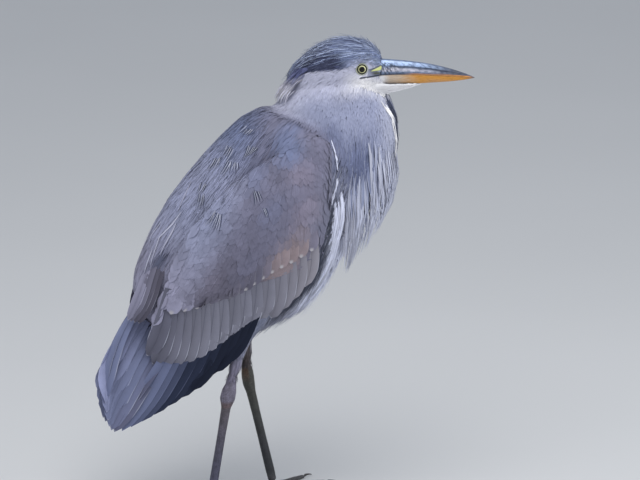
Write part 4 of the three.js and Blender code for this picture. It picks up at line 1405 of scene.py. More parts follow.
def lay_crest():
    """The tufts of the rear crown that stand off over the nape."""
    coat = Coat("crest_feathers")
    count = 230
    spread = dice.uniform(-1, 1, count)
    x = dice.uniform(-84, -50, count)
    z = np.interp(x, [-92, -75, -55, -40], [-4, 13, 28, 35]) - 9 * spread**2
    roots = from_head(x, 15 * spread, z)
    reach = dice.uniform(0.4, 1, count)
    ends = from_head(
        -84 - 15 * reach,
        13 * spread + dice.normal(0, 1.5, count),
        8 - 19 * reach - 9 * np.abs(spread) + dice.normal(0, 1.5, count),
    )
    bow = np.stack([np.full(count, -1.5), np.zeros(count), dice.uniform(1.5, 4.5, count)], -1)
    spine = hanging(roots, ends, bow * MM @ HEAD_AXES.T)
    back = unit(np.array([-0.55, 0, 0.83]) @ HEAD_AXES.T)
    face = unit(np.tile(back, (count, STATIONS, 1)) + (spine - spine.mean(0)) * [0, 20, 0])
    pale = dice.random(count) < 0.3
    tone = np.where(pale[:, None], TONES["crown"] * 1.3, TONES["nape"] * 1.5)
    room = room_at(roots)
    half = np.where(pale, 0.6, 1.1)
    tone, marks = varied(tone, 0.25), marks_of(count)
    coat.lay("hair", spine, face, half, tone, marks, room, thick=0.4)
    # The ruffled tuft below them, dark above and greyish buff below.
    count = 300
    share = dice.uniform(0, 1, count)
    across = dice.uniform(-1, 1, count)
    stops = np.linspace(0, 1, len(NAPE_EDGE))
    edge_x, edge_z = np.array(NAPE_EDGE, float).T
    deep = dice.uniform(0, 7, count) + 7 * across**2
    roots = np.stack(
        [np.interp(share - 0.3, stops, edge_x) + 8 + deep, 13 * across,
         np.interp(share - 0.3, stops, edge_z) + 4], -1,
    ) * MM
    ends = np.stack(
        [np.interp(share, stops, edge_x) + deep, 15 * across + dice.normal(0, 1.5, count),
         np.interp(share, stops, edge_z) + dice.normal(0, 2, count)], -1,
    ) * MM
    bow = np.tile([-2.0, 0, 1.5], (count, 1)) * MM
    spine = hanging(roots, ends, bow)
    face = np.tile(unit(np.array([-0.8, 0, 0.6])), (count, STATIONS, 1))
    face = unit(face + np.stack([0 * across, 0.8 * across, 0 * across], -1)[:, None])
    tone = blended(flat(TONES["nape"] * 2.2, count), TONES["fluff"], ramp(share, 0.3, 0.7))
    pale = (dice.random(count) < 0.2) * ramp(share, 0.3, 0.7)
    tone = blended(tone, TONES["covert_edge"], pale)
    room = room_at(roots)
    half = dice.uniform(0.6, 1.2, count)
    coat.lay("lance", spine, face, half, varied(tone, 0.18), marks_of(count), room)
    coat.piece(crown_plumage, "plumage_crest", "crest")


def lay_neck():
    coat = Coat("neck_feathers")
    here = middle_regions == "neck"
    low = 1 - ramp(middles[:, 2] / MM, 440, 540)
    roots = scattered(here, 2.2 + 0.8 * low)
    low = 1 - ramp(roots[:, 2] / MM, 440, 540)
    lay_cover(
        coat, roots, "short", 10 + 9 * low, 1.6 + 0.6 * low, 0.2 + 0.2 * low, 0.9,
        (0.04, 0.04, 0), vary=0.03, cup=0.03, spread=0.07,
    )
    coat.piece(soft_plumage, "plumage_neck")


def neck_strand_tone(tone, spine):
    """A few strands pale and a few dark, more of both low on the front of the neck."""
    x, y, z = spine[:, 4].T / MM
    front = ramp(x, 60, 110) * (1 - ramp(z, 500, 570))
    chance = dice.random(len(tone))
    calm = 0.35 + 0.65 * np.maximum(front, 1 - ramp(z, 440, 500))
    tone = blended(tone, TONES["white"], 0.5 * calm * (chance < 0.25 + 0.2 * front))
    return blended(tone, TONES["neck_streak"], (0.1 + 0.45 * front) * (chance > 0.9 - 0.1 * front))


FRONT_STREAKS = [
    ("neck_streak", 90, 13.5, 18, 557),
    ("throat", 50, 19.5, 22.5, 550),
]  # tone, count, how far aside, and height of the highest root


def lay_neck_strands():
    coat = Coat("neck_strands")
    here = middle_regions == "neck"
    low = 1 - ramp(middles[:, 2] / MM, 450, 540)
    roots = scattered(here & (middles[:, 2] < 0.585), 6.0 - 1.6 * low)
    low = 1 - ramp(roots[:, 2] / MM, 450, 540)
    lay_cover(
        coat, roots, "hair", 16 + 20 * low, 0.45 + 0.15 * low, 0.5 + 0.9 * low, 0.4,
        vary=0.06, tint=neck_strand_tone, spread=0.12,
    )
    for name, count, inner, outer, top in FRONT_STREAKS:
        z = dice.uniform(476, top, count)[:, None] - np.linspace(0, 20, STATIONS)
        aside = dice.uniform(inner, outer, count)[:, None] * dice.choice([-1, 1], (count, 1))
        aside = aside + dice.normal(0, 0.5, (count, 1)) * np.linspace(0, 1, STATIONS)
        spine = np.stack([np.zeros_like(z), 0 * z + aside, z], -1) * MM
        for place in spine.reshape(-1, 3):
            found = form_tree.ray_cast(Vector((0.3, place[1], place[2])), Vector((-1, 0, 0)))[0]
            place[0] = found.x if found else 0.1
        spine, face, room = settled(spine, 0.2, 1.3)
        tone = varied(flat(name, count), 0.15)
        coat.lay("lance", spine, face, 1.0, tone, marks_of(count), room)
    # The fringe that stands off the front of the neck.
    roots = scattered(here & (middle_normals[:, 0] > 0.75) & (middles[:, 2] < 0.54), 5.5)
    lift = dice.uniform(1.0, 3.6, len(roots))
    lay_cover(
        coat, roots, "hair", dice.uniform(18, 34, len(roots)), 0.55, lift, 0.4,
        vary=0.2, tint=neck_strand_tone, spread=0.18, stiff=0.9,
    )
    coat.piece(breast_plumage, "plumage_neck")


# ---- breast plumes ---------------------------------------------------------------------------

PLUME_TURN = math.radians(101)
BREAST_AXIS = HEAD + Vector((-19, 5, 0)) * MM  # the plumes hang round an upright line here


def plume_sheet(turn, reach, lift):
    """Places on the curved sheet that the hanging plumes follow, in metres."""
    front, side = np.cos(turn), np.sin(turn)
    low = np.clip(reach, 0, 1)
    bulge = 4 * low * (1 - low)
    hollow = 12 * low**2
    fore = np.maximum(0, front)
    top = 446 + 40 * fore
    bottom = 320 + 74 * fore
    height = top + (bottom - top) * reach
    ahead = (64 - hollow + 4 * bulge + lift) * front - 20 * np.maximum(0, low - 0.45) * (1 - fore)
    aside = (52 - hollow / 3 + 3 * bulge + lift) * side
    return np.stack([BREAST_AXIS.x + ahead * MM, BREAST_AXIS.y + aside * MM, height * MM], -1)


PLUME_LAYERS = [
    ("lance", 150, 2.3, 0.35, (-0.35, 0.45)),
    ("lance", 240, 1.5, 0.6, (-0.1, 0.55)),
    ("hair", 330, 0.6, 0.8, (0.0, 0.6)),
]  # pattern, count, half width in millimetres, share of pale plumes, where the roots lie


def lay_breast_plumes():
    coat = Coat("breast_plume_feathers")
    for layer, (pattern, count, half, pale, roots) in enumerate(PLUME_LAYERS):
        turn = PLUME_TURN * (2 * (np.arange(count) + dice.random(count)) / count - 1)
        bundle = 0.05 * np.sin(turn * 16)
        begin = dice.uniform(*roots, count)
        end = np.minimum(begin + dice.uniform(0.5, 0.85, count), dice.uniform(0.86, 1.02, count))
        end = end + 0.05 * np.cos(turn * 16)
        t = np.linspace(0, 1, STATIONS)[None]
        reach = begin[:, None] * (1 - t) + end[:, None] * t
        drift = (dice.normal(0, 0.03, count) - bundle)[:, None] * t**2
        lift = 2.2 * layer * np.sin(t * math.pi) + dice.uniform(-1.5, 2.0, count)[:, None]
        spine = plume_sheet(turn[:, None] + drift, reach, lift)
        middle = np.array([BREAST_AXIS.x, BREAST_AXIS.y, 0])
        face = unit((spine - middle) * [1, 1, 0])
        spine[:, 0] = on_form(spine[:, 0])[0]
        spine[:, 1] = spine[:, 1] * 0.4 + on_form(spine[:, 1])[0] * 0.6
        spine[:, 2] = spine[:, 2] * 0.75 + on_form(spine[:, 2])[0] * 0.25
        high = spine[:, 4, 2] / MM
        chance = dice.random(count)[:, None]
        ahead = ramp(np.cos(turn), 0.1, 0.7)
        behind = ramp(-np.cos(turn), -0.75, -0.1)
        base = layered(
            flat(TONES["white"] * 1.05, count),
            ("breast", ramp(high, 375, 430)),
            (TONES["white"] * 1.1, 0.85 * ahead),
            (TONES["breast_slate"] * 1.6, 0.75 * behind * ramp(high, 400, 440)),
        )
        bright = chance[:, 0] < pale * (1 - 0.8 * (1 - ahead) * ramp(high, 370, 415))
        tone = np.where(bright[:, None], TONES["white"] * (1.02 - 0.2 * behind[:, None]), base)
        tone = np.where(chance > 0.95, TONES["slate"] * 2, tone)
        room = room_at(spine[:, 0])
        coat.lay(
            pattern, spine, face, half * dice.uniform(0.8, 1.2, count),
            varied(tone, 0.1), marks_of(count, 0.4, 0.15), room, thick=0.35, cup=0.08,
        )
    coat.piece(breast_plumage, "plumage_breast", "breast_plumes")


lay_face()
lay_crown()
lay_crest()
lay_neck()
lay_neck_strands()
lay_breast_plumes()

# ---- feathers of the body --------------------------------------------------------------------

body_along, body_dorsal = body_chart(middles)
is_trunk = middle_regions == "trunk"
neck_border = border[triangles[:, 0], 0]


def lay_back():
    coat = Coat("back_feathers")
    roots = scattered(is_trunk & (body_dorsal > 10), 4.6)
    lay_cover(
        coat, roots, "lance", 30, 3.4, 0.2, 2.0, (0, 0.03, 0), vary=0.03, cup=0.02, spread=0.08
    )
    # Feathers that cross from the neck on to the mantle.
    roots = scattered((neck_border > 0.35) & (neck_border < 0.8) & (body_dorsal > -10), 2.8)
    lay_cover(coat, roots, "lance", 15, 1.3, 0.8, 0.9, vary=0.05, cup=0.04, spread=0.12)
    # Long narrow shoulder feathers with free barbs.
    roots = scattered(is_trunk & (body_dorsal > 40) & (body_along < 190), 7.5)
    lay_cover(coat, roots, "hair", 40, 0.7, 0.6, 0.3, vary=0.07, spread=0.08, stiff=0.8)
    coat.piece(back_plumage, "plumage_back")


FLANK_STRIP = [
    [-34, -46, 60], [-10, -66, 56], [10, -77, 53], [30, -86, 49], [51, -95, 43], [72, -101, 38],
    [92, -103, 35], [108, -104, 33], [120, -105, 31],
]  # along, dorsal and left of the white plumes that hang beside the wing


def lay_flank_strip(coat, sign):
    """The long white plumes between the breast and the front edge of the folded wing."""
    count = 150
    begin = dice.uniform(0, 0.62, count)
    end = np.minimum(begin + dice.uniform(0.3, 0.5, count), dice.uniform(0.86, 1.06, count))
    share = begin[:, None] + (end - begin)[:, None] * np.linspace(0, 1, STATIONS)
    along, dorsal, left = course_at(FLANK_STRIP, share)
    aside = dice.uniform(-1, 1, count)[:, None] * (8.6 - 4.4 * share)
    lift = dice.uniform(0, 2.5, count)[:, None] - 2.5 * (share - begin[:, None] < 0.04)
    spine = from_body(along + 0.5 * aside, dorsal + 0.85 * aside, sign * (left + lift))
    face = np.tile(unit(np.array([0.35, sign * 1.0, -0.25])), (count, STATIONS, 1))
    tone = varied(flat(TONES["white"] * 1.3, count), 0.12)
    tone *= 1 - 0.4 * ramp(begin, 0.36, 0.6)[:, None]
    room = room_at(spine[:, 0])
    coat.lay(
        "lance", spine, face, dice.uniform(1.0, 1.8, count), tone, marks_of(count, 0.2, 0.1),
        room, thick=0.4, cup=0.12,
    )


def lay_flank():
    coat = Coat("flank_feathers")
    roots = scattered(is_trunk & (body_dorsal <= 12), 4.4)
    lay_cover(
        coat, roots, "lance", 25, 2.6, 0.6, 2.0, (0.3, 0.1, 0), vary=0.07, cup=0.06, spread=0.1
    )
    here = is_trunk & (body_dorsal < -20) & (body_along < 170)
    roots = scattered(here, 7.0)
    lay_cover(coat, roots, "hair", 34, 0.75, 1.4, 0.4, vary=0.16, spread=0.12, stiff=0.8)
    for sign in SIDES.values():
        lay_flank_strip(coat, sign)
    # The loose fringe under the belly.
    here = is_trunk & (body_dorsal < -70) & (body_along > 40) & (body_along < 185)
    roots = scattered(here, 7.0)
    lift = dice.uniform(2, 8, len(roots))
    lay_cover(
        coat, roots, "hair", dice.uniform(24, 42, len(roots)), 0.9, lift, 0.4,
        vary=0.16, spread=0.2, stiff=0.95,
    )
    coat.piece(breast_plumage, "plumage_back")


def hit(tree, x, z, side):
    """The outermost place of a search tree on one side of the bird, at a place seen from there."""
    start = Vector((x, side * 0.3, z))
    place, _, _, _ = tree.ray_cast(start, Vector((0, -side, 0)))
    return None if place is None else side * place.y


def draped(along, dorsal, sign, low, high):
    """Spines over one side of the form at places of the body's chart, rising from low to high."""
    spine = from_body(along, dorsal, 0.0)
    for place in spine.reshape(-1, 3):
        out = hit(form_tree, place[0], place[2], sign)
        if out is None:
            out = abs(form_tree.find_nearest(Vector(place))[0].y)
        place[1] = sign * out
    return settled(spine, low, high)


LEADING_EDGE = [[-84, -6], [-66, -24], [-50, -36], [-34, -43], [-16, -49]]


def lay_leading_line(coat, sign):
    """The narrow row of small white feathers along the front edge of the folded wing."""
    count = 70
    along, dorsal = np.array(LEADING_EDGE, float).T
    share = np.sort(dice.random(count))
    share = share[(share < 0.36) | (share > 0.56)]
    count = len(share)
    stops = np.linspace(0, 1, len(along))
    at = [np.interp(share, stops, along), np.interp(share, stops, dorsal)]
    slope = [np.gradient(part, share) for part in at]
    reach = np.linspace(0, 9, STATIONS)[None] / np.hypot(*slope)[:, None]
    drift = dice.normal(0, 0.7, (count, 1))
    spine, face, room = draped(
        at[0][:, None] + slope[0][:, None] * reach,
        at[1][:, None] + slope[1][:, None] * reach + drift,
        sign, 0.4, 1.4,
    )
    tone = varied(flat(TONES["white"] * 1.25, count), 0.08)
    coat.lay("short", spine, face, 0.5, tone, marks_of(count), room)


GREATER_COVERTS = {
    "count": 15,
    "tips": [
        [48, -60], [78, -42], [104, -25], [132, -12], [158, -3], [182, 10], [204, 36], [230, 62],
    ],
    "lengths": [46, 52],
    "swing": [[-40, -24], [-30, -10]],
    "half": [9.5, 11],
    "roll": 4,
    "lift": 1.3,
    "sink": 3.5,
    "edge": [0.12, 0.12],
    "heart": 0.2,
    "tip": 0.9,
    "pattern": "flight",
    "shaft": False,
}


def lay_coverts(side, sign):
    coat = Coat(f"covert_feathers_{side}")
    here = (middle_regions == "wing") & (middles[:, 1] * sign > 0)
    small = 1 - ramp(body_along, -90, 10)
    roots = scattered(here, 6.2 - 2.8 * small)
    small = 1 - ramp(body_chart(roots)[0], -90, 10)
    row_along, row_dorsal = np.array(GREATER_COVERTS["tips"], float).T

    def keep(spine, face):
        tip_along, tip_dorsal = body_chart(spine[:, -1])
        line = np.interp(tip_along, row_along, row_dorsal, left=-200)
        root_dorsal = body_chart(spine[:, 0])[1]
        outward = (face[..., 1] * sign).min(1) > np.where(root_dorsal > 30, 0.3, -0.3)
        return (tip_dorsal > line + 1) & outward

    lay_cover(
        coat, roots, "rounded", 26 - 12 * small, 7.0 - 3.4 * small, 0.3, 1.4,
        (0, 0.08, 0), vary=0.03, cup=0.02, spread=0.16, keep=keep,
    )
    # Loose barbs that soften the scale-like edges of the coverts.
    roots = scattered(here, 5.2)
    lay_cover(
        coat, roots, "hair", dice.uniform(10, 22, len(roots)), 0.55, 0.5, 0.2,
        vary=0.18, spread=0.22, keep=keep,
    )
    lay_leading_line(coat, sign)
    coat.piece(covert_plumage, "plumage_coverts")


def lay_thighs():
    coat = Coat("thigh_feathers")
    roots = scattered((middle_regions == "thigh") & (middles[:, 2] > 0.184), 2.8)
    lay_cover(
        coat, roots, "lance", 13, 1.5, 0.5, 1.2, (0.25, 0.1, 0), vary=0.1, cup=0.06, spread=0.1
    )
    # The lowest ones reach down over the bare leg.
    roots = scattered((middle_regions == "thigh") & (np.abs(middles[:, 2] - 0.196) < 0.012), 1.8)
    lay_cover(
        coat, roots, "lance", dice.uniform(14, 27, len(roots)), 1.3, 2.4, 0.4, (0.06, 0.05, 0),
        vary=0.12, cup=0.06, spread=0.06, stiff=0.9,
    )
    coat.piece(breast_plumage, "plumage_thigh")


COMBS = [
    [6, [12, 95], [28, 96], [6, 85], [13, 80]],
    [4, [19, 108], [33, 110], [12, 103], [22, 101]],
    [5, [-20, 84], [-4, 82], [-25, 73], [-17, 75]],
    [4, [-38, 95], [-30, 98], [-40, 84], [-32, 88]],
    [4, [-5, 103], [3, 104], [-5, 94], [11, 95]],
    [3, [55, 109], [66, 108], [52, 103], [62, 102]],
    [3, [68, 105], [83, 101], [66, 98], [78, 94]],
    [6, [75, 84], [92, 86], [73, 75], [92, 68]],
    [3, [24, 56], [37, 49], [22, 52], [27, 43]],
    [2, [37, 36], [44, 28], [35, 31], [42, 24]],
]  # number of pale barbs, then root and tip of the first and of the last, along and dorsal
SCAPULAR_LINES = [
    [1.1, 0.7, [102, 111], [117, 111], [137, 115], [155, 114], [180, 107], [190, 103]],
    [1.2, 0.5, [118, 109], [135, 107], [152, 106], [166, 103]],
    [0.9, 0.6, [128, 121], [149, 121], [166, 117]],
    [1.0, 0.7, [165, 114], [183, 110], [200, 105]],
    [0.8, 0.4, [60, 117], [84, 116], [104, 114]],
]  # half width, brightness and course of the pale edges of the long shoulder feathers


def lay_fringes():
    coat = Coat("shoulder_fringes")
    t = np.linspace(0, 1, STATIONS)[None, :, None]
    for sign in SIDES.values():
        for barbs, *ends in COMBS:
            first_root, first_tip, last_root, last_tip = np.array(ends, float)
            for dark in (True, False):
                count = barbs + dark
                share = ((np.arange(count) + 0.5 * (1 - dark)) / barbs)[:, None]
                root = first_root + (last_root - first_root) * share
                tip = first_tip + (last_tip - first_tip) * share
                root = root + dice.normal(0, 0.7, (count, 2))
                tip = tip + (tip - root) * dice.uniform(0.1, 0.5, (count, 1))
                line = root[:, None] * (1 - t) + tip[:, None] * t
                line = line + (tip - root)[:, None, ::-1] * [0.1, -0.1] * t * (1 - t)
                low, high = (0.5, 0.9) if dark else (0.8, 1.8)
                spine, face, room = draped(line[..., 0], line[..., 1], sign, low, high)
                tone = TONES["slate"] * 1.1 if dark else TONES["white"] * 0.85
                tone = varied(flat(tone, count), 0.15)
                half = 0.75 if dark else 0.45
                coat.lay("hair", spine, face, half, tone, marks_of(count), room)
        for half, bright, *course in SCAPULAR_LINES:
            places = course_at(course, np.linspace(0, 1, STATIONS)[None])
            spine, face, room = draped(*places, sign, 0.6, 1.6)
            tone = blended(TONES["rump"], TONES["white"], bright)[None]
            coat.lay("lance", spine, face, half, tone, marks_of(1), room, thick=0.25)
        # The faint barbs all over the shoulder between them.
        here = (middles[:, 1] * sign > 0) & (body_along < 100) & (body_dorsal > 72)
        roots = scattered(here & (is_trunk | (middle_regions == "wing")), 3.6)
        length = dice.uniform(8, 15, len(roots))
        spine, face, room, middle = walked(roots, length, 0.9, -0.3, 0.1, 0.9)
        tint = np.where(dice.random((len(roots), 1)) < 0.5, 1.35, 0.62)
        tone = form_tone[middle] * tint
        coat.lay("hair", spine, face, 0.45, tone, marks_of(len(roots)), room)
    coat.piece(breast_plumage, "plumage_back")


lay_back()
lay_flank()
for side, sign in SIDES.items():
    lay_coverts(side, sign)
lay_thighs()
lay_fringes()

# ---- flight feathers -------------------------------------------------------------------------


def smoothed_row(values, rounds):
    for _ in range(rounds):
        values[:, 1:-1] = (values[:, :-2] + 2 * values[:, 1:-1] + values[:, 2:]) / 4
    return values


TUCK = 2.5 * MM  # how deep the roots of a covered row lie under the coat


def lay_row(name, nodes, covered, row, material, slot, replaced):
    """One side's row of long feathers on the face of its solids, rooted under the coat."""
    side = -1 if name.endswith("right") else 1
    tree = node_tree_of(*nodes)[0]
    count = row["count"]
    share = (np.arange(count) + 0.5) / count
    tip_along, tip_dorsal = course_at(row["tips"], share)
    length = np.interp(share, [0, 1], row["lengths"])
    first, last = np.radians(row["swing"])
    t = np.linspace(0, 1, STATIONS)
    root_turn = np.interp(share, [0, 1], [first[0], last[0]])[:, None]
    tip_turn = np.interp(share, [0, 1], [first[1], last[1]])[:, None]
    turn = root_turn + (tip_turn - root_turn) * t**2
    turn = (turn[:, 1:] + turn[:, :-1]) / 2
    step = length[:, None] / (STATIONS - 1)
    tip = np.zeros((count, 1))
    behind = np.hstack([np.cumsum((np.cos(turn) * step)[:, ::-1], 1)[:, ::-1], tip])
    above = np.hstack([np.cumsum((np.sin(turn) * step)[:, ::-1], 1)[:, ::-1], tip])
    spine = from_body(tip_along[:, None] - behind, tip_dorsal[:, None] - above, 0.0)
    out = np.empty((count, STATIONS))
    for i in range(count):
        known = 0.02
        for j in range(STATIONS - 1, -1, -1):
            x, _, z = spine[i, j]
            found = hit(tree, x, z, side)
            above = hit(form_tree, x, z, side) if covered else None
            if found is None:
                found = known if above is None else above - TUCK
            elif above is not None:
                found += (above - TUCK - found) * (1 - ramp(t[j], 0.25, 0.7))
            out[i, j] = known = found
    firm = out - 1.2 * MM
    out = smoothed_row(out, row.get("smooth", 3))
    out = smoothed_row(out.T.copy(), 1).T
    out = smoothed_row(np.maximum(out, firm), 1)
    height = row["lift"] - row.get("sink", 0.0) * (1 - t) ** 2
    spine[..., 1] = side * (out + height * MM)
    heading = unit(np.gradient(spine, axis=1))
    along_row = unit(np.gradient(spine, axis=0))
    face = unit(np.cross(heading, along_row))
    face *= np.sign(face[..., 1:2] * side)
    face = unit(smoothed_row(face, 2))
    across = unit(np.cross(heading, face))
    roll = -math.radians(row["roll"]) * side
    face = unit(face * math.cos(roll) + across * math.sin(roll))
    tone = row["tone"](share) if "tone" in row else covert_colour(spine[:, 6])
    tone = varied(tone, 0.04)
    edge = np.interp(share, np.linspace(0, 1, len(row["edge"])), row["edge"])
    marks = marks_of(count, edge, row.get("heart", 0.3), row.get("tip", 0.0))
    room = np.stack([share, np.full(count, 0.5)], -1)
    coat = Coat(name)
    half = np.interp(share, [0, 1], row["half"])
    coat.lay(
        row["pattern"], spine, face, half, tone, marks, room, thick=0.4, cup=0.05,
        patch=(0.9 / count, 0.95),
    )
    if row.get("shaft", True):
        shaft_tone = blended(tone, TONES["nape"], 0.35)
        lifted = spine + face * 0.4 * MM
        coat.lay(
            "shaft", lifted, face, 0.5, shaft_tone, marks * [1, 0, 0, 0], room,
            thick=0.4, patch=0.002,
        )
    coat.piece(material, slot, *replaced)


def tones_between(*names):
    stops = np.linspace(0, 1, len(names))

    def tone(share):
        parts = [np.interp(share, stops, [TONES[name][k] for name in names]) for k in range(3)]
        return np.stack(parts, -1)

    return tone


SECONDARIES = {
    "count": 16,
    "tips": [
        [90, -83], [132, -75], [163, -66], [199, -54], [230, -42], [260, -29], [280, -15],
        [294, 5], [299, 26], [289, 49],
    ],
    "lengths": [96, 104],
    "swing": [[-44, -12], [-26, -6]],
    "half": [11.5, 12.5],
    "roll": 6,
    "lift": 0.5,
    "sink": 2.6,
    "smooth": 7,
    "edge": [0.5, 0.6],
    "pattern": "flight",
    "tone": tones_between("secondary_front", "secondary", "secondary", "secondary_rear"),
}
PRIMARIES = {
    "count": 10,
    "tips": [[236, -53], [274, -43], [311, -31], [348, -15], [380, 4], [402, 20]],
    "lengths": [110, 200],
    "swing": [[-16, 6], [-8, 4]],
    "half": [11, 12],
    "roll": 6,
    "lift": 0.4,
    "edge": [0, 0, 0.35, 0.7],
    "pattern": "flight",
    "tone": tones_between("primary", "primary", "primary_mid", "tail"),
}
TERTIALS = {
    "count": 4,
    "tips": [[257, 78], [262, 86], [264, 93]],
    "lengths": [106, 118],
    "swing": [[-8, -12], [-9, -13]],
    "half": [9.5, 8],
    "roll": 5,
    "lift": 0.5,
    "sink": 3.0,
    "edge": [0.25, 0.3],
    "pattern": "flight",
    "tone": tones_between("tertial_low", "tertial", "rump"),
}
TAIL_SIDE = {
    "count": 6,
    "tips": [[403, 22], [402, 32], [390, 44], [370, 60]],
    "lengths": [150, 130],
    "swing": [[4, 0], [2, -34]],
    "half": [12, 13],
    "roll": 6,
    "lift": 0.4,
    "edge": [0.35, 0.2],
    "pattern": "flight",
    "tone": tones_between("tail_low", "tail", "tail_top"),
}
for side in SIDES:
    wing = f"wing_{side}"
    flights = f"secondaries_{side}"
    lay_row(
        f"greater_coverts_{side}", [wing, flights], False, GREATER_COVERTS, covert_plumage,
        "plumage_coverts", [],
    )
    lay_row(
        f"secondary_feathers_{side}", [flights, wing, f"tertials_{side}"], False, SECONDARIES,
        flight_plumage, "plumage_secondaries", [flights],
    )
    lay_row(
        f"primary_feathers_{side}", [f"primaries_{side}"], False, PRIMARIES,
        primary_plumage, "plumage_primaries", [f"primaries_{side}"],
    )
    tips = [[250, 66], [255, 74], [256, 81]] if side == "left" else TERTIALS["tips"]
    lay_row(
        f"tertial_feathers_{side}", [f"tertials_{side}"], True, {**TERTIALS, "tips": tips},
        flight_plumage, "plumage_back", [f"tertials_{side}"],
    )


def lay_tail():
    """The closed tail: its middle feathers on top, and the others folded down on both sides."""
    for side in SIDES:
        lay_row(
            f"tail_feathers_{side}", ["tail"], False, TAIL_SIDE, tail_plumage, "plumage_tail", []
        )
    coat = Coat("middle_tail_feathers")
    side = np.array([-1.0, 1.0, 0.0])
    count = len(side)
    reach = np.linspace(0, 1, STATIONS)[None]
    along = 226 + 148 * reach
    dorsal = 82 - 26 * reach**2 + 6 * np.sin(reach * math.pi) + 0.8 * (side == 0)[:, None]
    spine = from_body(along, dorsal, side[:, None] * (6 + 4 * reach))
    up = DORSAL[None] + 0.8 * np.stack([0 * side, side, 0 * side], -1)
    face = np.repeat(unit(up)[:, None], STATIONS, axis=1)
    tone = varied(flat("tail", count), 0.06)
    marks = marks_of(count, 0.5, 0.25)
    room = np.stack([(np.arange(count) + 0.5) / count, np.full(count, 0.5)], -1)
    coat.lay(
        "flight", spine, face, 11.0, tone, marks, room, thick=0.45, cup=0.08,
        patch=(0.9 / count, 0.95),
    )
    coat.piece(tail_plumage, "plumage_tail", "tail")


lay_tail()
bpy.data.objects.remove(form)

# ---- legs, feet and claws --------------------------------------------------------------------

LEG_VOXEL = 1.2 * MM
HOCK_HEIGHT = 0.156
SCUTE_STEP = 5.2  # millimetres between the plates down the shank's front


def make_legs():
    legs = copy_of_nodes("legs_and_feet", LEG_NODES)
    apply_modifier(legs, "DISPLACE", strength=0.3 * MM, mid_level=0.0)
    apply_modifier(legs, "REMESH", mode="VOXEL", voxel_size=LEG_VOXEL)
    apply_modifier(legs, "SMOOTH", factor=0.5, iterations=8)
    points, normals = points_of(legs), normals_of(legs)
    x, y, z = points.T
    ring = np.sin(z / MM * 2 * math.pi / SCUTE_STEP)
    shank = ramp(z, 0.012, 0.03)
    scute = 0.16 * np.abs(ring) * ramp(normals[:, 0], 0.2, 0.7) * shank
    slim = 1.1 * ramp(z, 0.166, 0.182)  # the top tucks in under the thigh's feathers
    move_points(legs, points + normals * ((scute - slim) * MM)[:, None])
    far = ramp(y, -0.01, 0.01)
    up = ramp(z, 0.05, 0.16)
    rise = z - HOCK_HEIGHT
    crease = 1 - ramp(np.abs(rise + 0.011), 0.002, 0.006)
    rust = ramp(rise, -0.004, 0.02) * ramp(0.35 - normals[:, 0], 0, 0.5)
    # The far (left) leg gets darker tones from foot to top: painted shade.
    leg_in_shade = layered(flat("far_shank", len(x)), ("shank_top_in_shade", up))
    tone = layered(
        flat("shank", len(x)),
        ("shank_top", up),
        (leg_in_shade, far),
        ("hock", 0.75 * ramp(rise, -0.016, -0.004) * (1 - far)),
        ("hock_crease", 0.45 * crease * (1 - far)),
        ("rust", 0.7 * rust * far),
        ("toe", 0.5 * (1 - shank)),
    )
    paint(legs, "tone", tone)
    material, n, shader = new_material("leg scales", roughness=0.5, specular_ior_level=0.4)
    cells = {"Vector": n.object_place(), "Scale": 420.0, "Randomness": 0.75}
    near = n.add("ShaderNodeTexVoronoi", cells, feature="DISTANCE_TO_EDGE").outputs["Distance"]
    plate = n.ranged(near, 0.02, 0.16)
    spots = n.noise(n.object_place(), 130.0, 4.0)
    spotted = n.ranged(spots, 0.3, 0.7, 0.7, 1.25)
    shade = n.math("MULTIPLY", n.ranged(plate, 0, 1, 0.62, 1.1), spotted)
    n.paint_tone(shader, shade)
    n.feed(n.ranged(spots, 0.3, 0.7, 0.42, 0.62), shader.inputs["Roughness"])
    n.feed(n.bump(plate, 0.5, 0.35), shader.inputs["Normal"])
    legs.data.materials.append(material)
    smooth(legs)
    select_only(legs, skin)
    bpy.ops.object.join()
    finish_piece(skin, "leg_skin", *FLESH_NODES, *LEG_NODES)


def make_claws():
    nodes = [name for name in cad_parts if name.startswith("claw_")]
    claws = copy_of_nodes("claws", nodes)
    apply_modifier(claws, "SUBSURF", levels=2, render_levels=2)
    material, n, shader = new_material("claw horn", roughness=0.35, coat_weight=0.2)
    streak = n.noise(n.object_place(), 500.0, 3.0)
    horn = n.blend(streak, rgb(TONES["claw"]), rgb(TONES["claw_pale"]))
    n.feed(horn, shader.inputs["Base Color"])
    n.feed(n.ranged(streak, 0.3, 0.7, 0.3, 0.5), shader.inputs["Roughness"])
    claws.data.materials.append(material)
    smooth(claws)
    finish_piece(claws, "claw_horn", *nodes)


make_legs()
make_claws()

# ---- stage -----------------------------------------------------------------------------------

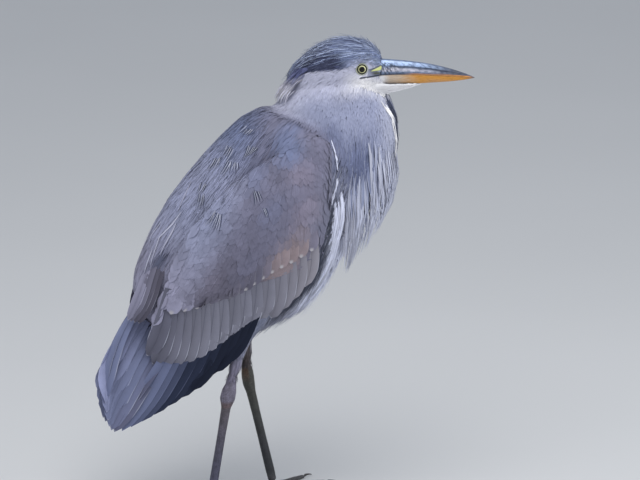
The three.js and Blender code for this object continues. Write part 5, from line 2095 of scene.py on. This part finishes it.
CAMERA_AZIMUTH = math.radians(-14)
CAMERA_RISE = math.radians(15)
FRAME_WIDTH = 0.858  # what the frame takes in at the bird, across
LENS = 250.0
SENSOR = 36.0
FRAME_CENTRE = Vector((0.0470, 0, 0.3555))
LIGHTS_AIM = Vector((0, 0, 0.35))
FLOOR_SIZE = 30


def make_camera():
    camera = new_object("camera", bpy.data.cameras.new("camera"))
    camera.data.lens = LENS
    camera.data.sensor_width = SENSOR
    back = Vector(
        (
            math.sin(CAMERA_AZIMUTH) * math.cos(CAMERA_RISE),
            -math.cos(CAMERA_AZIMUTH) * math.cos(CAMERA_RISE),
            math.sin(CAMERA_RISE),
        )
    )
    camera.location = FRAME_CENTRE + back * (LENS / SENSOR * FRAME_WIDTH)
    camera.rotation_mode = "QUATERNION"
    camera.rotation_quaternion = (-back).to_track_quat("-Z", "Y")
    camera.data.clip_end = 50
    bpy.context.scene.camera = camera


def make_light(name, place, size, power, colour):
    light = bpy.data.lights.new(name, "AREA")
    light.shape = "DISK"
    light.size = size
    light.energy = power
    light.color = colour
    lamp = new_object(name, light)
    lamp.location = place
    lamp.rotation_mode = "QUATERNION"
    lamp.rotation_quaternion = (LIGHTS_AIM - lamp.location).to_track_quat("-Z", "Y")


def make_stage():
    floor = basic_shape(bpy.ops.mesh.primitive_plane_add, "floor", size=FLOOR_SIZE)
    material, n, shader = new_material("pale floor", roughness=0.9)
    cloud = n.noise(n.object_place(), 1.5, 2.0)
    backdrop = n.blend(cloud, (0.60, 0.61, 0.62, 1), (0.64, 0.65, 0.66, 1))
    n.feed(backdrop, shader.inputs["Base Color"])
    floor.data.materials.append(material)
    world = bpy.data.worlds.new("studio")
    bpy.context.scene.world = world
    world.use_nodes = True
    world.node_tree.nodes["Background"].inputs["Color"].default_value = (0.86, 0.91, 1.0, 1)
    world.node_tree.nodes["Background"].inputs["Strength"].default_value = 0.55
    make_light("overhead", (-0.4, -0.9, 2.6), 2.2, 42, (1.0, 0.98, 0.95))
    make_light("fill", (2.2, -1.8, 1.1), 1.8, 26, (0.95, 0.97, 1.0))
    bpy.context.scene.view_settings.view_transform = "Standard"


make_camera()
make_stage()
